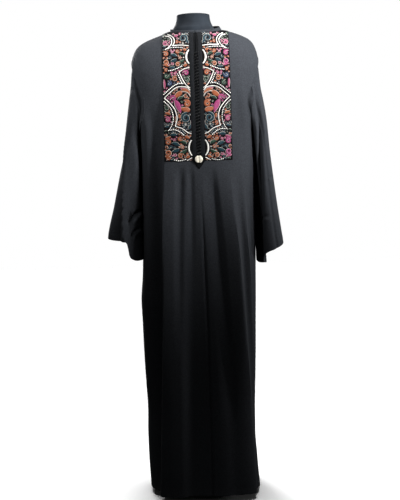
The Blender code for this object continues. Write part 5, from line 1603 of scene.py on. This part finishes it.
def set_on_opening(thing, front, z, height):
    """Sets a piece that far out of the opening's line on the front, at that z, with its -Y axis outwards."""
    beside = np.s_[::-1, SLIT_FIRST : SLIT_FIRST + FINER + 1 : FINER]
    line, normals = (layer[beside].mean(axis=1) for layer in front)
    here, out = (Vector(along_line(z, line[:, 2], layer)) for layer in (line, normals))
    out.normalize()
    right = out.cross(Vector((0, 0, -1))).normalized()
    axes = Matrix((right, -out, right.cross(-out))).transposed()
    thing.matrix_world = Matrix.Translation(here + out * height) @ axes.to_4x4()


def tied_knot():
    """The points and quads of a knot tied in cord, with its two loops."""
    t = whole_turn(KNOT_STEPS)
    trefoil = np.stack([np.sin(t) + 2 * np.sin(2 * t), np.sin(3 * t), np.cos(t) - 2 * np.cos(2 * t)], -1)
    path = trefoil / np.abs(trefoil).max(axis=0) * (np.array(KNOT_HALF) - (KNOT_CORD, 0.0, KNOT_CORD))
    cords = [tube(path, KNOT_CORD, KNOT_SIDES, closed=True)]
    share = np.linspace(0, 1, LOOP_STEPS)
    for side in (-1, 1):
        for spread in (-1, 1):
            across = side * (LOOP_START + (LOOP_REACH - LOOP_START) * share)
            apart = spread * LOOP_SPREAD * (1 - LOOP_CLOSING * share)
            loop = np.stack([across, LOOP_SINKING * share**2, apart], -1)
            cords.append(tube(loop, LOOP_CORD, LOOP_SIDES, closed=False))
    starts = np.cumsum([0] + [len(points) for points, _ in cords])
    points = np.concatenate([points for points, _ in cords])
    faces = np.concatenate([faces + start for (_, faces), start in zip(cords, starts)])
    return points @ np.array(Matrix.Rotation(-KNOT_SLANT, 3, "Y")).T, faces


def knots(front, braid):
    """The row of knots, on one shared mesh."""
    mesh = None
    for k in range(KNOT_COUNT):
        name = f"knot_{k + 1:02d}"
        if mesh is None:
            thing = add_piece(f"tied_{name}", *tied_knot(), [braid], "braid", [name])
            mesh = thing.data
        else:
            thing = linked(f"tied_{name}", mesh)
            declare(thing, [name])
        z = KNOT_TOP_Z + (KNOT_BOTTOM_Z - KNOT_TOP_Z) * k / (KNOT_COUNT - 1)
        set_on_opening(thing, front, z, LIFT + KNOT_HALF[1] + KNOT_CORD)


def half_disc(side):
    """The outline of half a disc with its two corners rounded, in the XZ plane, side -1 on the left."""
    corner_z = math.sqrt((CLASP_RADIUS - CLASP_CORNER) ** 2 - CLASP_CORNER**2)
    lean = math.atan2(corner_z, CLASP_CORNER)
    turns = np.linspace(math.pi, lean, CLASP_CORNER_STEPS + 1)
    corner = np.stack([CLASP_CORNER * (1 + np.cos(turns)), corner_z + CLASP_CORNER * np.sin(turns)], -1)
    turns = np.linspace(lean, -lean, CLASP_ARC_STEPS + 1)[1:-1]
    arc = CLASP_RADIUS * np.stack([np.cos(turns), np.sin(turns)], -1)
    outline = np.concatenate([corner, arc, corner[::-1] * (1, -1)])
    outline[:, 0] = side * (outline[:, 0] + CLASP_PARTING)
    return outline


def clasp(front, pearl):
    """The two crowned halves of the round clasp."""
    turn = np.linspace(0, math.pi / 2, CLASP_RINGS)
    depths = [0.0, *(CLASP_THICKNESS * (CLASP_RIM + (1 - CLASP_RIM) * np.sin(turn)))]
    spreads = [1.0, *(CLASP_TOP + (1 - CLASP_TOP) * np.cos(turn) ** CLASP_FULLNESS)]
    for side, name in ((-1, "clasp_left"), (1, "clasp_right")):
        outline = half_disc(side)
        middle = outline.mean(axis=0)
        rings = []
        for depth, spread in zip(depths, spreads):
            x, z = (middle + (outline - middle) * spread).T
            rings.append(np.stack([x, np.full(len(x), -depth), z], -1))
        faces = quads(len(rings), len(outline), closed=True)
        faces = faces if side < 0 else faces[:, ::-1]
        thing = add_piece(f"pearl_{name}", np.concatenate(rings), faces, [pearl], "pearl", [name])
        close_ends(thing, len(outline), len(rings))
        set_on_opening(thing, front, CLASP_Z, 4 * LIFT + BAND_THICKNESS)


def close_ends(thing, count, rings):
    """Closes the first and the last ring of a piece made of rings with that many points."""
    shape = bmesh.new()
    shape.from_mesh(thing.data)
    shape.verts.ensure_lookup_table()
    shape.faces.new(shape.verts[:count])
    shape.faces.new(shape.verts[count * (rings - 1) :])
    bmesh.ops.recalc_face_normals(shape, faces=shape.faces)
    for face in shape.faces:
        face.smooth = True
    shape.to_mesh(thing.data)
    shape.free()
    thing.data.set_sharp_from_angle(angle=SHARP_ANGLE)


def form_ring(sizes, heights, roundness):
    """A ring of the form: its reach left, right, forwards and back, and its height beside, ahead, behind."""
    left, right, front, back = sizes
    z_side, z_front, z_back = heights
    cosine, sine = squarer(whole_turn(FORM_COLUMNS), roundness)
    side = np.where(cosine < 0, left, right)
    depth = np.where(sine > 0, back, front)
    middle = np.where(sine > 0, z_back, z_front)
    return np.stack([side * cosine, depth * sine, z_side + (middle - z_side) * np.abs(sine)], -1)


def level_ring(row, z, share=1.0, roundness=2.0):
    """A level ring of the dress form, at that share of a row's sizes."""
    sizes = [size * share for size in (row.side, row.side, row.front, row.back)]
    return form_ring(sizes, (z, z, z), roundness)


def ringed_body(name, rings, look, slot, node):
    """A closed body through rings of points, with flat ends."""
    rings = np.stack(rings)
    rows, count = rings.shape[:2]
    faces = quads(rows, count, closed=True)[:, [0, 3, 2, 1]]
    close_ends(add_piece(name, rings.reshape(-1, 3), faces, [look], slot, [node]), count, rows)


def finer_rings(rings, times):
    """The rings with smooth ones between them."""
    rings = np.stack(rings)
    rows = np.arange(len(rings))
    wanted = np.linspace(0, len(rings) - 1, (len(rings) - 1) * times + 1)
    flat = rings.reshape(len(rings), -1)
    finer = np.stack([smooth_curve(rows, column, wanted) for column in flat.T], -1)
    return finer.reshape(len(wanted), -1, 3)


def dress_form(jersey):
    """The neck, shoulders and trunk that the garment rests on, without limbs, and the neck's cap."""
    rings = [level_ring(row, row.z) for row in FORM_NECK]
    for level in FORM_YOKE_LEVELS:
        sides = [at_level(name, level) - FORM_SIDE_GAP for name in ("left", "right")]
        depths = [at_level(name, level) - FORM_DEPTH_GAP for name in ("front_y", "back_y")]
        heights = [z - FORM_DROP for z in (level, at_level("front_z", level), at_level("back_z", level))]
        rings.append(form_ring(sides + depths, heights, float(at_level("round", level))))
    for row in FORM_TRUNK:
        drop = soft_rise(row.z, FORM_DIP_Z, FORM_TRUNK[0].z)
        heights = (row.z, row.z - FORM_FRONT_DIP * drop, row.z - FORM_BACK_DIP * drop)
        rings.append(form_ring((row.side, row.side, row.front, row.back), heights, FORM_ROUNDNESS))
    rings = list(finer_rings(rings, FORM_FINER))
    last = FORM_TRUNK[-1]
    for lean in np.linspace(0, math.pi / 2, FORM_BOTTOM_RINGS + 1)[1:]:
        share = 1 - (1 - FORM_BOTTOM_SHARE) * (1 - math.cos(lean))
        z = last.z + (FORM_BOTTOM_Z - last.z) * math.sin(lean)
        rings.append(level_ring(last, z, share, FORM_ROUNDNESS))
    ringed_body("form_body", rings, jersey, "form_jersey", "form_torso")
    top = FORM_NECK[0]
    base_z = top.z + SEAM_GAP
    rings = []
    for lean in np.linspace(math.pi / 2, 0, CAP_RINGS):
        z = base_z + CAP_RIM + (CAP_DOME - CAP_RIM) * math.sin(lean)
        rings.append(level_ring(top, z, max(math.cos(lean), CAP_TOP)))
    rings.append(level_ring(top, base_z))
    ringed_body("form_cap", rings, jersey, "form_jersey", "form_neck_cap")


def rounded(profile, radius):
    """A profile of radius and height with its inner points rounded off."""
    points = np.array(profile, float)
    made = [points[0]]
    for before, here, after in zip(points, points[1:], points[2:]):
        back, ahead = before - here, after - here
        reach = min(radius, np.linalg.norm(back) / ROUNDING_MOST, np.linalg.norm(ahead) / ROUNDING_MOST)
        start, end = here + unit(back) * reach, here + unit(ahead) * reach
        for t in np.linspace(0, 1, ROUNDING_STEPS):
            made.append((1 - t) ** 2 * start + 2 * t * (1 - t) * here + t**2 * end)
    made.append(points[-1])
    return made


def turned(name, profile, look, node):
    """A round piece of the stand from its profile, from the top down."""
    turn = whole_turn(STAND_SIDES)
    rings = [
        np.stack([radius * np.cos(turn), radius * np.sin(turn), np.full(STAND_SIDES, z)], -1)
        for radius, z in profile
    ]
    ringed_body(name, rings, look, "stand_metal", node)


def stand(metal):
    """The pole, its hub and the round base."""
    low = BASE_THICKNESS + SEAM_GAP
    top = low + HUB_HEIGHT
    pole = [(POLE_RADIUS, FORM_BOTTOM_Z - SEAM_GAP), (POLE_RADIUS, top + SEAM_GAP)]
    hub = [
        (STAND_TOP_RADIUS, top),
        (HUB_TOP_RADIUS, top),
        (HUB_TOP_RADIUS, top - HUB_NECK),
        (HUB_RADIUS, low + HUB_RIM),
        (HUB_RADIUS, low),
    ]
    base = [
        (STAND_TOP_RADIUS, BASE_THICKNESS),
        (BASE_RADIUS - BASE_BEVEL, BASE_THICKNESS),
        (BASE_RADIUS, BASE_THICKNESS - BASE_BEVEL),
        (BASE_RADIUS, 0.0),
    ]
    turned("pole", pole, metal, "stand_pole")
    turned("hub", rounded(hub, HUB_ROUNDING), metal, "stand_hub")
    turned("base", rounded(base, BASE_ROUNDING), metal, "stand_base")


CREPE = woven(
    "crepe", (0.0380, 0.0410, 0.0470), (0.0520, 0.0560, 0.0640),
    roughness=0.85, grain=900.0, relief=0.35, sheen=0.02,
)
GROUND = woven(
    "ground", (0.0040, 0.0040, 0.0045), (0.0070, 0.0065, 0.0075),
    roughness=0.80, grain=1200.0, relief=0.30, sheen=0.0,
)
BRAID = braided("braid", (0.0020, 0.0022, 0.0026), (0.0100, 0.0110, 0.0125))
KNOT = braided("knot", (0.0022, 0.0024, 0.0028), (0.0110, 0.0120, 0.0140), roughness=0.34, gloss=0.38)
BAND = braided("band", (0.0085, 0.0092, 0.0105), (0.0200, 0.0215, 0.0245))
JERSEY = knitted("jersey", (0.0200, 0.0240, 0.0300), (0.0300, 0.0370, 0.0460))
THREADS = {
    "cord": thread("cord_white", (0.80, 0.78, 0.74), twist=True),
    "bead": principled("bead_white", (0.86, 0.85, 0.82), roughness=0.25)[0],
    "edging": thread("edging_silver", (0.56, 0.53, 0.49), twist=True),
    "maroon": thread("outline_maroon", (0.045, 0.010, 0.016), twist=True),
}
for name, colour in {
    "silver": (0.42, 0.39, 0.35),
    "rust": (0.33, 0.108, 0.046),
    "rose": (0.36, 0.090, 0.170),
    "magenta": (0.32, 0.056, 0.165),
    "teal": (0.006, 0.045, 0.062),
    "blue": (0.018, 0.050, 0.110),
    "green": (0.014, 0.058, 0.034),
}.items():
    THREADS[name] = thread(f"thread_{name}", colour)
bpy.context.scene.view_settings.view_transform = "Standard"
bpy.context.scene.view_settings.gamma = DISPLAY_GAMMA
make_camera()
make_floor()
make_world()
make_lamps()
front, back = body_panels(CREPE, BRAID)
for shape in SLEEVES:
    sleeve(shape, front, back, CREPE)
neckband(front[0], back[0], CREPE)
placket(front, GROUND, BAND, BRAID)
BIB = bib_table()
embroidery()
knots(front, KNOT)
clasp(front, pearly("pearl"))
dress_form(JERSEY)
stand(lacquered("lacquer"))
